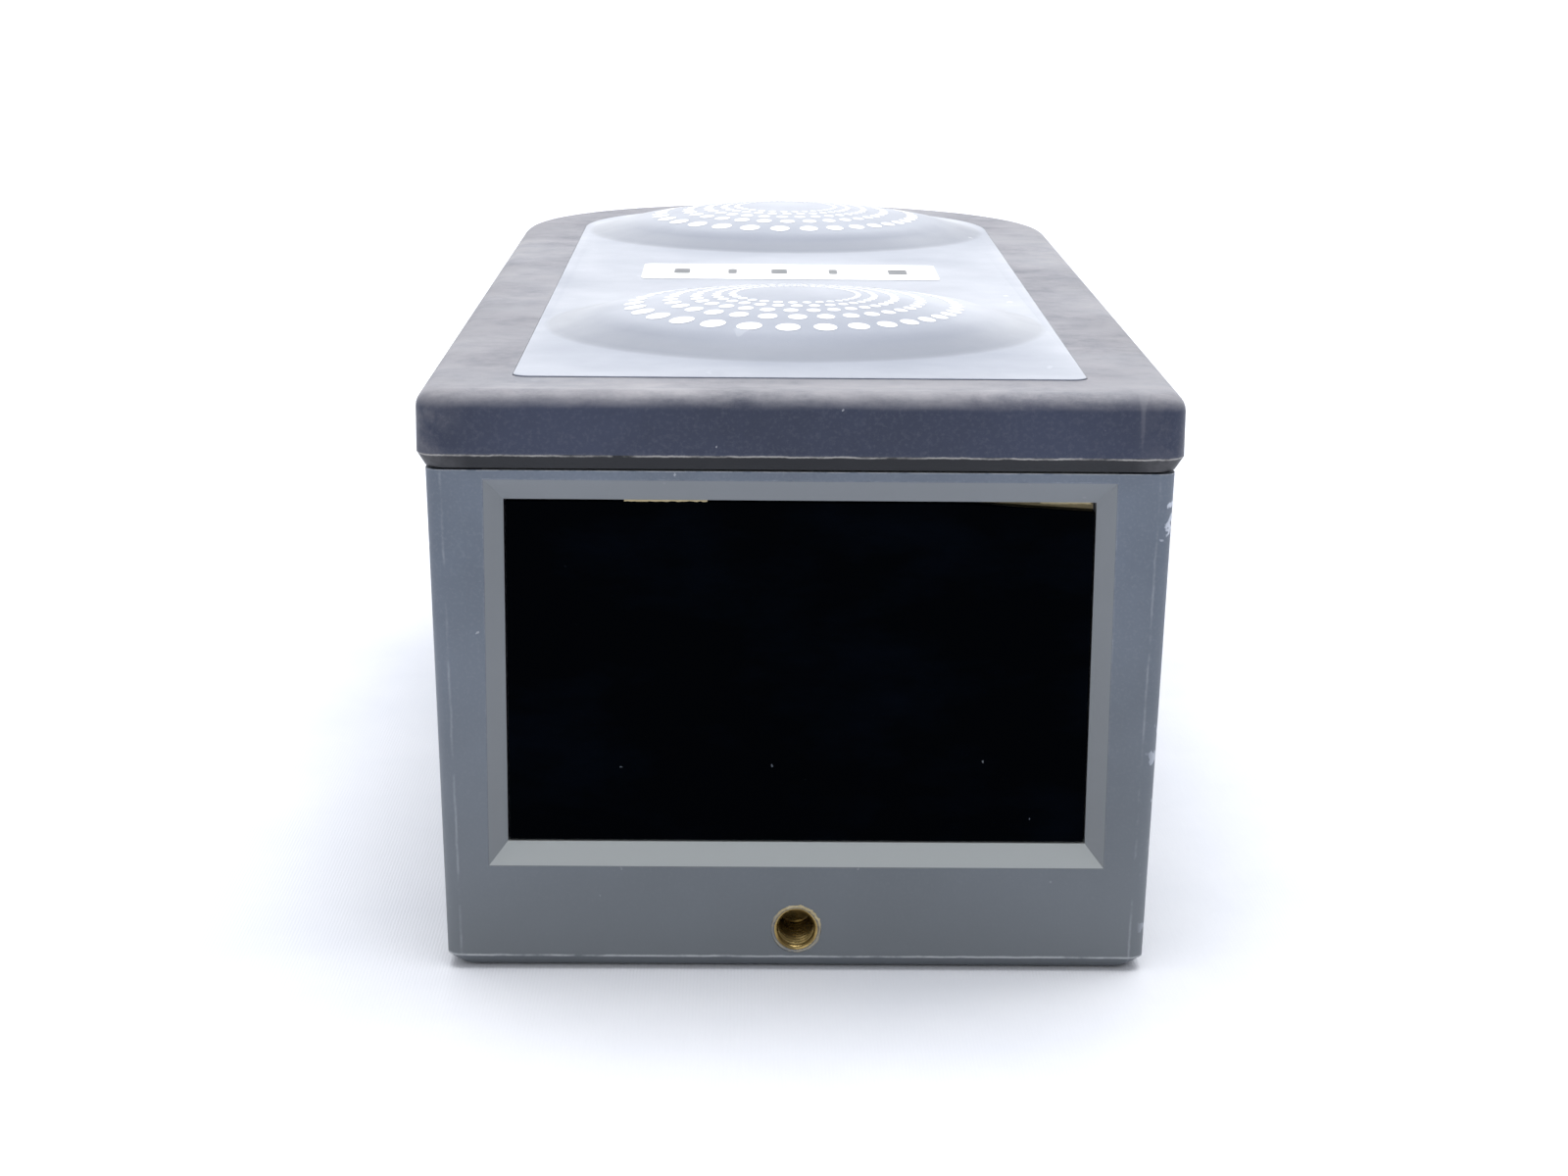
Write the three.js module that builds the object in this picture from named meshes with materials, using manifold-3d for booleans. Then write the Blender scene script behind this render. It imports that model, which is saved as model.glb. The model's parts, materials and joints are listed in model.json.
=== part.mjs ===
// A sealed optical sensor unit: a moulded case with a half-round back, a skirted lid with two low
// domes, a dark window set in a bevelled frame, and a brass threaded insert below the window.
// Millimetres, +Z up. X runs to the right seen from the window side, which faces -Y.
// The origin is under the middle of the unit, on the surface it stands on.
import * as THREE from "three";
import { mergeVertices } from "three/addons/utils/BufferGeometryUtils.js";
import Module from "manifold-3d";

const wasm = await Module();
wasm.setup();

// ---------------------------------------------------------------- driving dimensions
const gap = 0.3; // between pieces that touch

const lidWidth = 165;
const lidLength = 404;
const lidTop = 131.2; // flat top of the lid above the standing surface
const skirtHeight = 16.9;
const skirtBevelHeight = 3.2;
const skirtBevelIn = 1.7;
const skirtWall = 4.2;
const lidRoof = 3.5;
const lidTopFillet = 5;
const planCorner = 6; // front corners of the lid, seen from above

const overhang = 1.85; // lid beyond the body, just under the lid
const draft = THREE.MathUtils.degToRad(1.5);
const bodyWall = 3.5;
const floorThickness = 4;
const bodyChamfer = 2.6;
const bodyCorner = 3.4; // front corners of the body, seen from above
const seamGap = 0.5; // between the lid's lower edge and the body's shoulder
const lidClearance = 0.5; // between the lid's skirt and the body's tongue
const tongueWall = 2.6;
const gasketHeight = 2;
const gasketWidth = 2;

const footProud = 0.6;
const footRadius = 8.7;
const footThickness = 1.9;

const windowWidth = 128; // opening at the foot of the bevel
const windowHeight = 77.7;
const windowSill = 28.6; // lower edge of that opening above the body's lower edge
const windowBevel = 4.2; // at the sides
const windowBevelTall = 5; // at the top and the bottom
const windowBevelDepth = 3;
const windowLedge = 4; // ledge that the pane is bonded to
const paneThickness = 3;
const paneClearance = 0.4;
const paneCornerDrop = 1.6; // the pane's upper right corner is cut low
const paneDropStart = 0.27; // where that starts, as a part of the pane's width from its middle
const sealThickness = 0.8;

const insertHeight = 9.2; // centre of the insert above the body's lower edge
const insertRadius = 5.3;
const threadMinor = 3.97;
const threadMajor = 4.7;
const threadPitch = 1.5875;
const threadTurns = 9;
const insertBack = 2; // wall behind the thread
const insertBoss = 9; // half width of the boss that holds the insert

const panelMargin = 19.5; // from the lid's edge
const panelCorner = 3.5;
const panelThickness = 0.9;
const panelProud = 0.3;
const panelClearance = 0.4;
const domeRadius = 61;
const domeCrownRadius = 48;
const domeCrownBase = 3.5;
const domeHeight = 8;
const domeFrontDistance = 102; // from the lid's front edge to the first dome
const domeSpacing = 212;

const rearPlateWidth = 68;
const rearPlateHeight = 48;
const rearPlateThickness = 2.5;
const rearPlateMiddle = 46; // above the standing surface
const rearPlateInset = 11.4; // from the body's round back to the plate's seat
const rearSeatWall = 4;
const rearOpeningWidth = 54;
const rearOpeningHeight = 34;
const rearGasketThickness = 1;
const rearScrewRadius = 1.3;

const boardThickness = 1.6;
const standoffHeight = 8;
const chassisThickness = 2;
const chassisHalfWidth = 62;
const studHeight = 7;
const standoffStud = 1.2;
const standoffPilot = 1.6;

const lensSpacing = 72;
const lensHeight = 64;
const barrelRadius = 14;
const barrelBore = 11.4;
const barrelLength = 30;
const focusRingWall = 4;
const lensMountWall = 4;
const focusRingWidth = 10;
const cellTravel = 2;

// ---------------------------------------------------------------- derived places
const halfWidth = lidWidth / 2;
const frontY = -lidLength / 2;
const endY = lidLength / 2 - halfWidth; // centre of the half-round back
const shoulderZ = lidTop - skirtHeight - seamGap;
const bodyBottom = footProud;
const floorTop = bodyBottom + floorThickness;
const roofZ = lidTop - lidRoof; // underside of the lid's roof
const tongueTop = roofZ - gasketHeight - 2 * gap;
const tongueInset = skirtWall + lidClearance;
const cavityTopInset = tongueInset + tongueWall;

// How far the body stands in from the lid's outline at a height.
const bodyInset = (z) => overhang + (shoulderZ - z) * Math.tan(draft);
const cavityFloorInset = bodyInset(floorTop) + bodyWall;
const bodyFrontY = frontY + bodyInset(0);

const rearBodyY = endY + halfWidth - bodyInset(rearPlateMiddle);
const rearSeatY = rearBodyY - rearPlateInset;
const domeYs = [frontY + domeFrontDistance, frontY + domeFrontDistance + domeSpacing];

// ---------------------------------------------------------------- solids
const arcSteps = { back: 28, corner: 3, dome: 32, lens: 24, round: 18, small: 10 };

function toSolid(geometry) {
  const plain = new THREE.BufferGeometry();
  plain.setAttribute("position", geometry.getAttribute("position"));
  if (geometry.index) plain.setIndex(geometry.index);
  const merged = mergeVertices(plain, 1e-4);
  const corners = merged.index.array;
  const kept = [];
  for (let i = 0; i < corners.length; i += 3) {
    const [a, b, c] = corners.slice(i, i + 3);
    if (a !== b && b !== c && c !== a) kept.push(a, b, c);
  }
  const make = (triVerts) =>
    new wasm.Manifold(
      new wasm.Mesh({
        numProp: 3,
        vertProperties: new Float32Array(merged.attributes.position.array),
        triVerts: new Uint32Array(triVerts),
      }),
    );
  const solid = make(kept);
  return solid.volume() < 0 ? make(kept.reverse()) : solid;
}

function toGeometry(solid) {
  const mesh = solid.getMesh();
  const geometry = new THREE.BufferGeometry();
  geometry.setAttribute("position", new THREE.BufferAttribute(mesh.vertProperties, 3));
  geometry.setIndex(new THREE.BufferAttribute(mesh.triVerts, 1));
  const faceted = geometry.toNonIndexed();
  faceted.computeVertexNormals();
  return faceted;
}

const join = (...parts) => toGeometry(parts.map(toSolid).reduce((a, b) => a.add(b)));
const cut = (base, ...tools) =>
  toGeometry(tools.map(toSolid).reduce((a, b) => a.subtract(b), toSolid(base)));
const common = (a, b) => toGeometry(toSolid(a).intersect(toSolid(b)));

const block = (x0, x1, y0, y1, z0, z1) =>
  new THREE.BoxGeometry(x1 - x0, y1 - y0, z1 - z0).translate(
    (x0 + x1) / 2,
    (y0 + y1) / 2,
    (z0 + z1) / 2,
  );

// A round bar along an axis, from one height on that axis to another.
function bar(axis, radius, from, to, place, sides = arcSteps.round) {
  const rod = new THREE.CylinderGeometry(radius, radius, to - from, sides);
  rod.translate(0, (from + to) / 2, 0);
  return turnTo(axis, rod).translate(...place);
}

// Turns a shape made round the Y axis to another axis.
function turnTo(axis, geometry) {
  if (axis === "x") geometry.rotateZ(-Math.PI / 2);
  if (axis === "z") geometry.rotateX(Math.PI / 2);
  return geometry;
}

// A turned shape from [radius, height] pairs along an axis.
function turned(axis, profile, place = [0, 0, 0], sides = arcSteps.round) {
  const points = profile.map(([radius, height]) => new THREE.Vector2(radius, height));
  return turnTo(axis, new THREE.LatheGeometry(points, sides)).translate(...place);
}

function arc(cx, cy, radius, from, to, steps) {
  return new THREE.EllipseCurve(cx, cy, radius, radius, from, to).getPoints(steps);
}

// The outline of the unit seen from above, drawn in from the lid's edge by an inset.
function planOutline(inset, corner = planCorner) {
  const half = halfWidth - inset;
  const y = frontY + inset;
  const radius = Math.max(corner, 0.4);
  return [
    ...arc(half - radius, y + radius, radius, -Math.PI / 2, 0, arcSteps.corner),
    ...arc(0, endY, half, 0, Math.PI, arcSteps.back),
    ...arc(-half + radius, y + radius, radius, Math.PI, 1.5 * Math.PI, arcSteps.corner),
  ];
}

// A solid through outlines of equal point count, each at its height.
function loft(sections) {
  const count = sections[0].points.length;
  const positions = sections.flatMap(({ points, z }) => points.flatMap((p) => [p.x, p.y, z]));
  const index = [];
  for (let level = 0; level < sections.length - 1; level++) {
    for (let i = 0; i < count; i++) {
      const a = level * count + i;
      const b = level * count + ((i + 1) % count);
      index.push(a, b, b + count, a, b + count, a + count);
    }
  }
  const top = (sections.length - 1) * count;
  const caps = [sections[0], sections.at(-1)].map((section) =>
    THREE.ShapeUtils.triangulateShape(section.points, []),
  );
  for (const [a, b, c] of caps[0]) index.push(c, b, a);
  for (const [a, b, c] of caps[1]) index.push(top + a, top + b, top + c);
  const geometry = new THREE.BufferGeometry();
  geometry.setAttribute("position", new THREE.Float32BufferAttribute(positions, 3));
  geometry.setIndex(index);
  return geometry;
}

const section = (z, inset, corner) => ({ points: planOutline(inset, corner), z });

function prism(points, z0, z1) {
  const flat = new THREE.ExtrudeGeometry(new THREE.Shape(points), {
    depth: z1 - z0,
    bevelEnabled: false,
  });
  return flat.translate(0, 0, z0);
}

// A rectangle with round corners, as points.
function roundedRectangle(width, height, radius, steps = arcSteps.corner) {
  const x = width / 2 - radius;
  const y = height / 2 - radius;
  const quarter = Math.PI / 2;
  return [
    ...arc(x, -y, radius, -quarter, 0, steps),
    ...arc(x, y, radius, 0, quarter, steps),
    ...arc(-x, y, radius, quarter, 2 * quarter, steps),
    ...arc(-x, -y, radius, 2 * quarter, 3 * quarter, steps),
  ];
}

// An upright plate from an outline in X and Z, from y0 to y1.
function upright(points, y0, y1, x = 0, z = 0) {
  return prism(points, -y1, -y0).rotateX(Math.PI / 2).translate(x, 0, z);
}

// Lays a shape made against the plane y = 0 onto the drafted front face.
const ontoFront = (geometry) => geometry.rotateX(draft).translate(0, bodyFrontY, 0);

const rectangle = (x0, x1, z0, z1) => [
  new THREE.Vector2(x0, z0),
  new THREE.Vector2(x1, z0),
  new THREE.Vector2(x1, z1),
  new THREE.Vector2(x0, z1),
];

// ---------------------------------------------------------------- finishes
const finishes = {
  housing: { color: 0x6a7078, roughness: 0.6, metalness: 0 },
  lid: { color: 0x434b60, roughness: 0.55, metalness: 0 },
  panel: { color: 0xb9c0cf, roughness: 0.45, metalness: 0.1 },
  darkGlass: { color: 0x020408, roughness: 0.08, metalness: 0 },
  adhesive: { color: 0xc9b98c, roughness: 0.7, metalness: 0 },
  rubber: { color: 0x1c1d1f, roughness: 0.85, metalness: 0 },
  brass: { color: 0xb59a5a, roughness: 0.35, metalness: 1 },
  steel: { color: 0xa9adb1, roughness: 0.35, metalness: 1 },
  aluminium: { color: 0xb8bcc0, roughness: 0.4, metalness: 1 },
  blackMetal: { color: 0x1b1c1e, roughness: 0.45, metalness: 0.6 },
  blackPlastic: { color: 0x151618, roughness: 0.5, metalness: 0 },
  greyPlastic: { color: 0x5b5f63, roughness: 0.6, metalness: 0 },
  circuit: { color: 0x1d5a38, roughness: 0.5, metalness: 0 },
  lens: { color: 0xaebfd0, roughness: 0.05, metalness: 0 },
  clearPlastic: { color: 0xd8dde2, roughness: 0.1, metalness: 0 },
  cell: { color: 0x2f4f7a, roughness: 0.5, metalness: 0 },
  webbing: { color: 0x2a2b2d, roughness: 0.9, metalness: 0 },
  cable: { color: 0x8d8f93, roughness: 0.6, metalness: 0 },
};

const unit = new THREE.Group();

function piece(name, geometry, finish) {
  const closed = toGeometry(toSolid(geometry));
  const mesh = new THREE.Mesh(closed, new THREE.MeshStandardMaterial(finishes[finish]));
  mesh.name = name;
  unit.add(mesh);
}

// ---------------------------------------------------------------- window
const windowMiddle = bodyBottom + windowSill + windowHeight / 2;
const opening = { x: windowWidth / 2, low: windowMiddle - windowHeight / 2 };
opening.high = opening.low + windowHeight;
const ledgeOpening = {
  x: opening.x - windowLedge,
  low: opening.low + windowLedge,
  high: opening.high - windowLedge,
};
const paneFront = windowBevelDepth;
const paneBack = paneFront + paneThickness;
const sealBack = paneBack + gap + sealThickness;
const windowSeat = sealBack + gap;

// The bevelled frame is a hollow that narrows from the face to the pane.
function windowBevelCut() {
  const past = 1;
  const grow = 1 + past / windowBevelDepth;
  const wide = { x: windowBevel * grow, z: windowBevelTall * grow };
  const outer = rectangle(
    -opening.x - wide.x,
    opening.x + wide.x,
    opening.low - wide.z,
    opening.high + wide.z,
  );
  const inner = rectangle(-opening.x, opening.x, opening.low, opening.high);
  const funnel = loft([
    { points: inner, z: -windowBevelDepth },
    { points: outer, z: past },
  ]);
  return funnel.rotateX(Math.PI / 2);
}

function windowCuts() {
  const pocket = upright(
    rectangle(-opening.x, opening.x, opening.low, opening.high),
    windowBevelDepth - 0.1,
    windowSeat,
  );
  const through = upright(
    rectangle(-ledgeOpening.x, ledgeOpening.x, ledgeOpening.low, ledgeOpening.high),
    windowSeat - 1,
    windowSeat + 3 * bodyWall,
  );
  return [windowBevelCut(), pocket, through].map(ontoFront);
}

function windowPane() {
  const half = opening.x - paneClearance;
  const low = opening.low + paneClearance;
  const high = opening.high - paneClearance;
  const outline = [
    new THREE.Vector2(-half, low),
    new THREE.Vector2(half, low),
    new THREE.Vector2(half, high - paneCornerDrop),
    new THREE.Vector2(half * 2 * paneDropStart, high),
    new THREE.Vector2(-half, high),
  ];
  return ontoFront(upright(outline, paneFront, paneBack));
}

function windowSeal() {
  const half = opening.x - paneClearance;
  const ring = upright(
    rectangle(-half, half, opening.low + paneClearance, opening.high - paneClearance),
    paneBack + gap,
    sealBack,
  );
  const hole = upright(
    rectangle(-ledgeOpening.x, ledgeOpening.x, ledgeOpening.low, ledgeOpening.high),
    paneBack - gap,
    sealBack + gap,
  );
  return ontoFront(cut(ring, hole));
}

// ---------------------------------------------------------------- threaded insert
const insertDepth = threadTurns * threadPitch + 1.2;
const insertPlace = [0, 0, bodyBottom + insertHeight];

function mountInsert() {
  const mouth = 0.6;
  const profile = [
    [0, insertDepth + insertBack],
    [insertRadius, insertDepth + insertBack],
    [insertRadius, 0],
    [threadMajor, 0],
    [threadMinor, mouth],
  ];
  for (let turn = 0; turn < threadTurns; turn++) {
    const start = mouth + turn * threadPitch;
    profile.push([threadMajor, start + threadPitch / 2], [threadMinor, start + threadPitch]);
  }
  profile.push([threadMinor, insertDepth], [0, insertDepth]);
  return ontoFront(turned("y", profile, insertPlace));
}

// ---------------------------------------------------------------- body
const footPlaces = [-1, 1].flatMap((side) => [
  [side * 58, frontY + 28],
  [side * 52, endY + 6],
]);
const standoffPlaces = [-1, 1].flatMap((side) => [
  [side * 54, frontY + 88],
  [side * 55, endY + 24],
]);
const lidScrewYs = [frontY + 40, frontY + 170, endY - 22];
const lidScrewZ = shoulderZ + seamGap + skirtHeight / 2 - 1;
const lidScrewRadius = 1.7;
const lidScrewLength = 12;
const lidScrewHead = 3.4;
const lidScrewHeadDepth = 1.9;
const bossDepth = 10;
const bossHalf = 4.5;

function bodyShell() {
  const outer = loft([
    section(bodyBottom, bodyInset(bodyBottom) + bodyChamfer, bodyCorner),
    section(bodyBottom + bodyChamfer, bodyInset(bodyBottom + bodyChamfer), bodyCorner),
    section(shoulderZ, bodyInset(shoulderZ), bodyCorner),
  ]);
  const tongue = loft([
    section(shoulderZ - 1, tongueInset, bodyCorner),
    section(tongueTop, tongueInset, bodyCorner),
  ]);
  const cavity = loft([
    section(floorTop, cavityFloorInset, bodyCorner),
    section(tongueTop + 1, cavityTopInset, bodyCorner),
  ]);
  const windowWallBack = frontY + bodyInset(0) + windowSeat + bodyWall;
  const frontWall = common(
    block(-halfWidth, halfWidth, frontY, windowWallBack, bodyBottom, shoulderZ),
    loft([
      section(bodyBottom, bodyInset(bodyBottom) + bodyChamfer, bodyCorner),
      section(shoulderZ, bodyInset(shoulderZ) + bodyChamfer, bodyCorner),
    ]),
  );
  const insertBlock = block(
    -insertBoss,
    insertBoss,
    bodyFrontY + bodyWall,
    bodyFrontY + insertDepth + insertBack + 3,
    bodyBottom + 1,
    bodyBottom + insertHeight + insertBoss,
  );
  const rearBlock = common(
    block(
      -rearPlateWidth / 2 - 5,
      rearPlateWidth / 2 + 5,
      rearSeatY - rearSeatWall,
      rearBodyY + 5,
      rearPlateMiddle - rearPlateHeight / 2 - 5,
      rearPlateMiddle + rearPlateHeight / 2 + 5,
    ),
    outer,
  );
  const lidBosses = [-1, 1].flatMap((side) =>
    lidScrewYs.map((y) => {
      const wallX = side * (halfWidth - tongueInset - 1);
      const innerX = wallX - side * bossDepth;
      return block(
        Math.min(wallX, innerX),
        Math.max(wallX, innerX),
        y - bossHalf,
        y + bossHalf,
        shoulderZ - 12,
        tongueTop - 0.5,
      );
    }),
  );
  const shell = join(cut(join(outer, tongue), cavity), frontWall, insertBlock, rearBlock, ...lidBosses);
  const feet = footPlaces.map(([x, y]) =>
    bar("z", footRadius + gap, bodyBottom - 1, footThickness + gap, [x, y, 0]),
  );
  const pilots = standoffPlaces.map(([x, y]) =>
    bar("z", standoffPilot, floorTop - 3, floorTop + 1, [x, y, 0], arcSteps.small),
  );
  const screwHoles = [-1, 1].flatMap((side) =>
    lidScrewYs.map((y) => sideBar(side, lidScrewRadius + gap, lidScrewLength + 1.5, y, arcSteps.small)),
  );
  const seat = upright(
    roundedRectangle(rearPlateWidth, rearPlateHeight, 4),
    rearSeatY,
    rearBodyY + 5,
    0,
    rearPlateMiddle,
  );
  const rearOpening = upright(
    roundedRectangle(rearOpeningWidth, rearOpeningHeight, 3),
    rearSeatY - rearSeatWall - 1,
    rearBodyY,
    0,
    rearPlateMiddle,
  );
  const insertHole = ontoFront(
    bar("y", insertRadius + gap, -1, insertDepth + insertBack + gap, insertPlace),
  );
  const rearPilots = rearScrewPlaces.map(([x, z]) =>
    bar("y", rearScrewRadius + gap, rearSeatY - 3.4, rearSeatY + 1, [x, 0, z], arcSteps.small),
  );
  return cut(
    shell,
    ...windowCuts(),
    insertHole,
    seat,
    rearOpening,
    ...feet,
    ...pilots,
    ...screwHoles,
    ...rearPilots,
  );
}

// A bar pointing in from the lid's side at the screw height.
function sideBar(side, radius, length, y, sides = arcSteps.small) {
  const outer = halfWidth;
  const [from, to] = side > 0 ? [outer - length, outer + 1] : [-outer - 1, -outer + length];
  return bar("x", radius, from, to, [0, y, lidScrewZ], sides);
}

// ---------------------------------------------------------------- lid and panel
const recessZ = lidTop + panelProud - panelThickness - gap;
const panelTop = lidTop + panelProud;
const panelBottom = panelTop - panelThickness;

// A dome as [radius, height] pairs, a crown on a steeper skirt, lowered by a wall.
function domeProfile(radius, wall, steps = 4) {
  const rise = domeHeight - domeCrownBase;
  const points = [];
  for (let i = 0; i <= steps; i++) {
    const r = (domeCrownRadius * i) / steps;
    const share = r / domeCrownRadius;
    points.push([r, panelTop + domeCrownBase + rise * (1 - share * share) - wall]);
  }
  const skirtMiddle = (domeCrownRadius + radius) / 2;
  points.push([skirtMiddle, panelTop + 0.42 * domeCrownBase - wall]);
  points.push([radius, panelTop - wall]);
  return points;
}

// The dome's solid down to a floor height, for joining to or cutting from a plate.
function domeSolid(y, wall, floor, radius = domeRadius) {
  const profile = [[0, floor], [radius, floor]];
  const skin = domeProfile(radius, wall).reverse();
  return turned("z", [...profile, ...skin], [0, y, 0], arcSteps.dome);
}

function topPanel() {
  const plate = prism(planOutline(panelMargin, panelCorner), panelBottom, panelTop);
  const raised = domeYs.map((y) => domeSolid(y, 0, panelBottom));
  const hollow = domeYs.map((y) => domeSolid(y, panelThickness, panelBottom - 1, domeRadius - 2.5));
  return cut(join(plate, ...raised), ...hollow);
}

function lidShell() {
  const fillet = [];
  const steps = 5;
  for (let i = 0; i <= steps; i++) {
    const angle = (Math.PI / 2) * (i / steps);
    const inset = lidTopFillet * (1 - Math.cos(angle));
    const z = lidTop - lidTopFillet * (1 - Math.sin(angle));
    fillet.push(section(z, inset, planCorner - inset / 2));
  }
  const skirtBottom = lidTop - skirtHeight;
  const outer = loft([
    section(skirtBottom, skirtBevelIn, planCorner - skirtBevelIn / 2),
    section(skirtBottom + skirtBevelHeight, 0, planCorner),
    ...fillet,
  ]);
  const cavity = loft([
    section(skirtBottom - 1, skirtWall, planCorner - 2),
    section(roofZ, skirtWall, planCorner - 2),
  ]);
  const recess = prism(planOutline(panelMargin - panelClearance, panelCorner), recessZ, lidTop + 1);
  const innerWall = panelThickness + gap;
  const domes = domeYs.map((y) => domeSolid(y, innerWall, roofZ, domeRadius - 2.9));
  const hollows = domeYs.map((y) =>
    domeSolid(y, innerWall + lidRoof - 1, roofZ - 1, domeRadius - 7),
  );
  const sockets = [-1, 1].flatMap((side) =>
    lidScrewYs.flatMap((y) => [
      sideBar(side, lidScrewRadius + gap, skirtWall + 2, y, arcSteps.small),
      countersink(side, y, gap),
    ]),
  );
  return cut(join(cut(outer, recess), ...domes), cavity, ...hollows, ...sockets);
}

// The cone of a countersunk head at the lid's side.
function countersink(side, y, extra) {
  const head = turned(
    "x",
    [
      [0, 0],
      [lidScrewRadius + extra, 0],
      [lidScrewHead + extra, lidScrewHeadDepth],
      [lidScrewHead + extra, lidScrewHeadDepth + (extra > 0 ? 1 : 0)],
      [0, lidScrewHeadDepth + (extra > 0 ? 1 : 0)],
    ],
    [0, 0, 0],
    arcSteps.small,
  );
  head.translate(halfWidth - lidScrewHeadDepth - 0.1, 0, 0);
  if (side < 0) head.rotateZ(Math.PI);
  return head.translate(0, y, lidScrewZ);
}

function lidScrew(side, y) {
  const end = halfWidth - lidScrewHeadDepth;
  const start = halfWidth - lidScrewLength;
  const [from, to] = side > 0 ? [start, end] : [-end, -start];
  const shank = bar("x", lidScrewRadius, from, to, [0, y, lidScrewZ], arcSteps.small);
  const slotSpan = lidScrewHead + 1;
  const slotAt = side * (halfWidth - 0.4);
  const slot = block(
    slotAt - 0.5,
    slotAt + 0.5,
    y - slotSpan,
    y + slotSpan,
    lidScrewZ - 0.4,
    lidScrewZ + 0.4,
  );
  return cut(join(shank, countersink(side, y, 0)), slot);
}

function lidGasket() {
  const z0 = tongueTop + gap;
  const outer = prism(planOutline(tongueInset + 0.3, bodyCorner), z0, z0 + gasketHeight);
  const inner = prism(planOutline(tongueInset + 0.3 + gasketWidth, 1.5), z0 - 1, z0 + gasketHeight + 1);
  return cut(outer, inner);
}

// ---------------------------------------------------------------- rear plate and what it carries
const rearScrewX = (rearPlateWidth + rearOpeningWidth) / 4;
const rearScrewZ = (rearPlateHeight + rearOpeningHeight) / 4;
const rearScrewPlaces = [-1, 1].flatMap((sx) =>
  [-1, 1].map((sz) => [sx * rearScrewX, rearPlateMiddle + sz * rearScrewZ]),
);
const rearPlateY = rearSeatY + gap + rearGasketThickness + gap;
const rearFaceY = rearPlateY + rearPlateThickness;
const inletX = -15;
const rockerX = 15;
const inletBarrel = 7.6;
const rockerSleeve = { width: 14.4, height: 19.4 };
const rockerMouth = { width: 11.4, height: 16.4 };
const ventStem = 2.5;

function rearPlate() {
  const plate = upright(
    roundedRectangle(rearPlateWidth - 2 * gap, rearPlateHeight - 2 * gap, 3.7),
    rearPlateY,
    rearFaceY,
    0,
    rearPlateMiddle,
  );
  const holes = [
    bar("y", inletBarrel + gap, rearPlateY - 1, rearFaceY + 1, [inletX, 0, rearPlateMiddle]),
    upright(
      roundedRectangle(rockerSleeve.width + 2 * gap, rockerSleeve.height + 2 * gap, 1),
      rearPlateY - 1,
      rearFaceY + 1,
      rockerX,
      rearPlateMiddle,
    ),
    bar("y", ventStem + gap, rearPlateY - 1, rearFaceY + 1, [0, 0, rearPlateMiddle], arcSteps.small),
    ...rearScrewPlaces.map(([x, z]) =>
      bar("y", rearScrewRadius + gap, rearPlateY - 1, rearFaceY + 1, [x, 0, z], arcSteps.small),
    ),
  ];
  return cut(plate, ...holes);
}

function rearGasket() {
  const y0 = rearSeatY + gap;
  const y1 = y0 + rearGasketThickness;
  const outline = roundedRectangle(rearPlateWidth - 2 * gap, rearPlateHeight - 2 * gap, 3.7);
  const hole = roundedRectangle(rearOpeningWidth, rearOpeningHeight, 3);
  const ring = upright(outline, y0, y1, 0, rearPlateMiddle);
  const screwHoles = rearScrewPlaces.map(([x, z]) =>
    bar("y", rearScrewRadius + gap, y0 - 1, y1 + 1, [x, 0, z], arcSteps.small),
  );
  return cut(ring, upright(hole, y0 - 1, y1 + 1, 0, rearPlateMiddle), ...screwHoles);
}

function rearScrew(x, z) {
  const headY = rearFaceY + gap;
  const shank = [[0, rearSeatY - 3], [rearScrewRadius, rearSeatY - 3], [rearScrewRadius, headY]];
  const head = [[2.6, headY], [2.6, headY + 1.2], [1.6, headY + 1.8], [0, headY + 1.8]];
  const slot = block(x - 3, x + 3, headY + 1.1, headY + 2, z - 0.35, z + 0.35);
  return cut(turned("y", [...shank, ...head], [x, 0, z], arcSteps.small), slot);
}

const inletTailY = rearPlateY - 9;

function inletSocket() {
  const tail = inletTailY;
  const flange = rearFaceY + gap;
  const lip = flange + 2;
  const bore = 5.5;
  const profile = [
    [0, tail],
    [inletBarrel - 2, tail],
    [inletBarrel, tail + 1.5],
    [inletBarrel, flange],
    [10, flange],
    [10, lip - 0.6],
    [9.4, lip],
    [bore, lip],
    [bore, tail + 3],
    [1.1, tail + 3],
    [1.1, lip - 6],
    [0.5, lip - 5.4],
    [0, lip - 5.4],
  ];
  return turned("y", profile, [inletX, 0, rearPlateMiddle]);
}

function inletNut() {
  const y1 = rearPlateY - gap;
  const y0 = y1 - 3;
  const nut = bar("y", 11, y0, y1, [inletX, 0, rearPlateMiddle], 6);
  const hole = bar("y", inletBarrel + gap, y0 - 1, y1 + 1, [inletX, 0, rearPlateMiddle]);
  return cut(nut, hole);
}

function rockerBezel() {
  const flange = rearFaceY + gap;
  const lip = flange + 1.8;
  const tail = rearPlateY - 8;
  const rim = roundedRectangle(rockerSleeve.width + 3, rockerSleeve.height + 3, 1.6);
  const sleeve = roundedRectangle(rockerSleeve.width, rockerSleeve.height, 0.8);
  const mouth = roundedRectangle(rockerMouth.width, rockerMouth.height, 0.6);
  const body = join(
    upright(rim, flange, lip, rockerX, rearPlateMiddle),
    upright(sleeve, tail, flange + 0.5, rockerX, rearPlateMiddle),
  );
  return cut(body, upright(mouth, tail + 2, lip + 1, rockerX, rearPlateMiddle));
}

const rockerPivotY = rearFaceY + 0.4;
const rockerReach = rockerMouth.height / 2 - 0.6;

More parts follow.
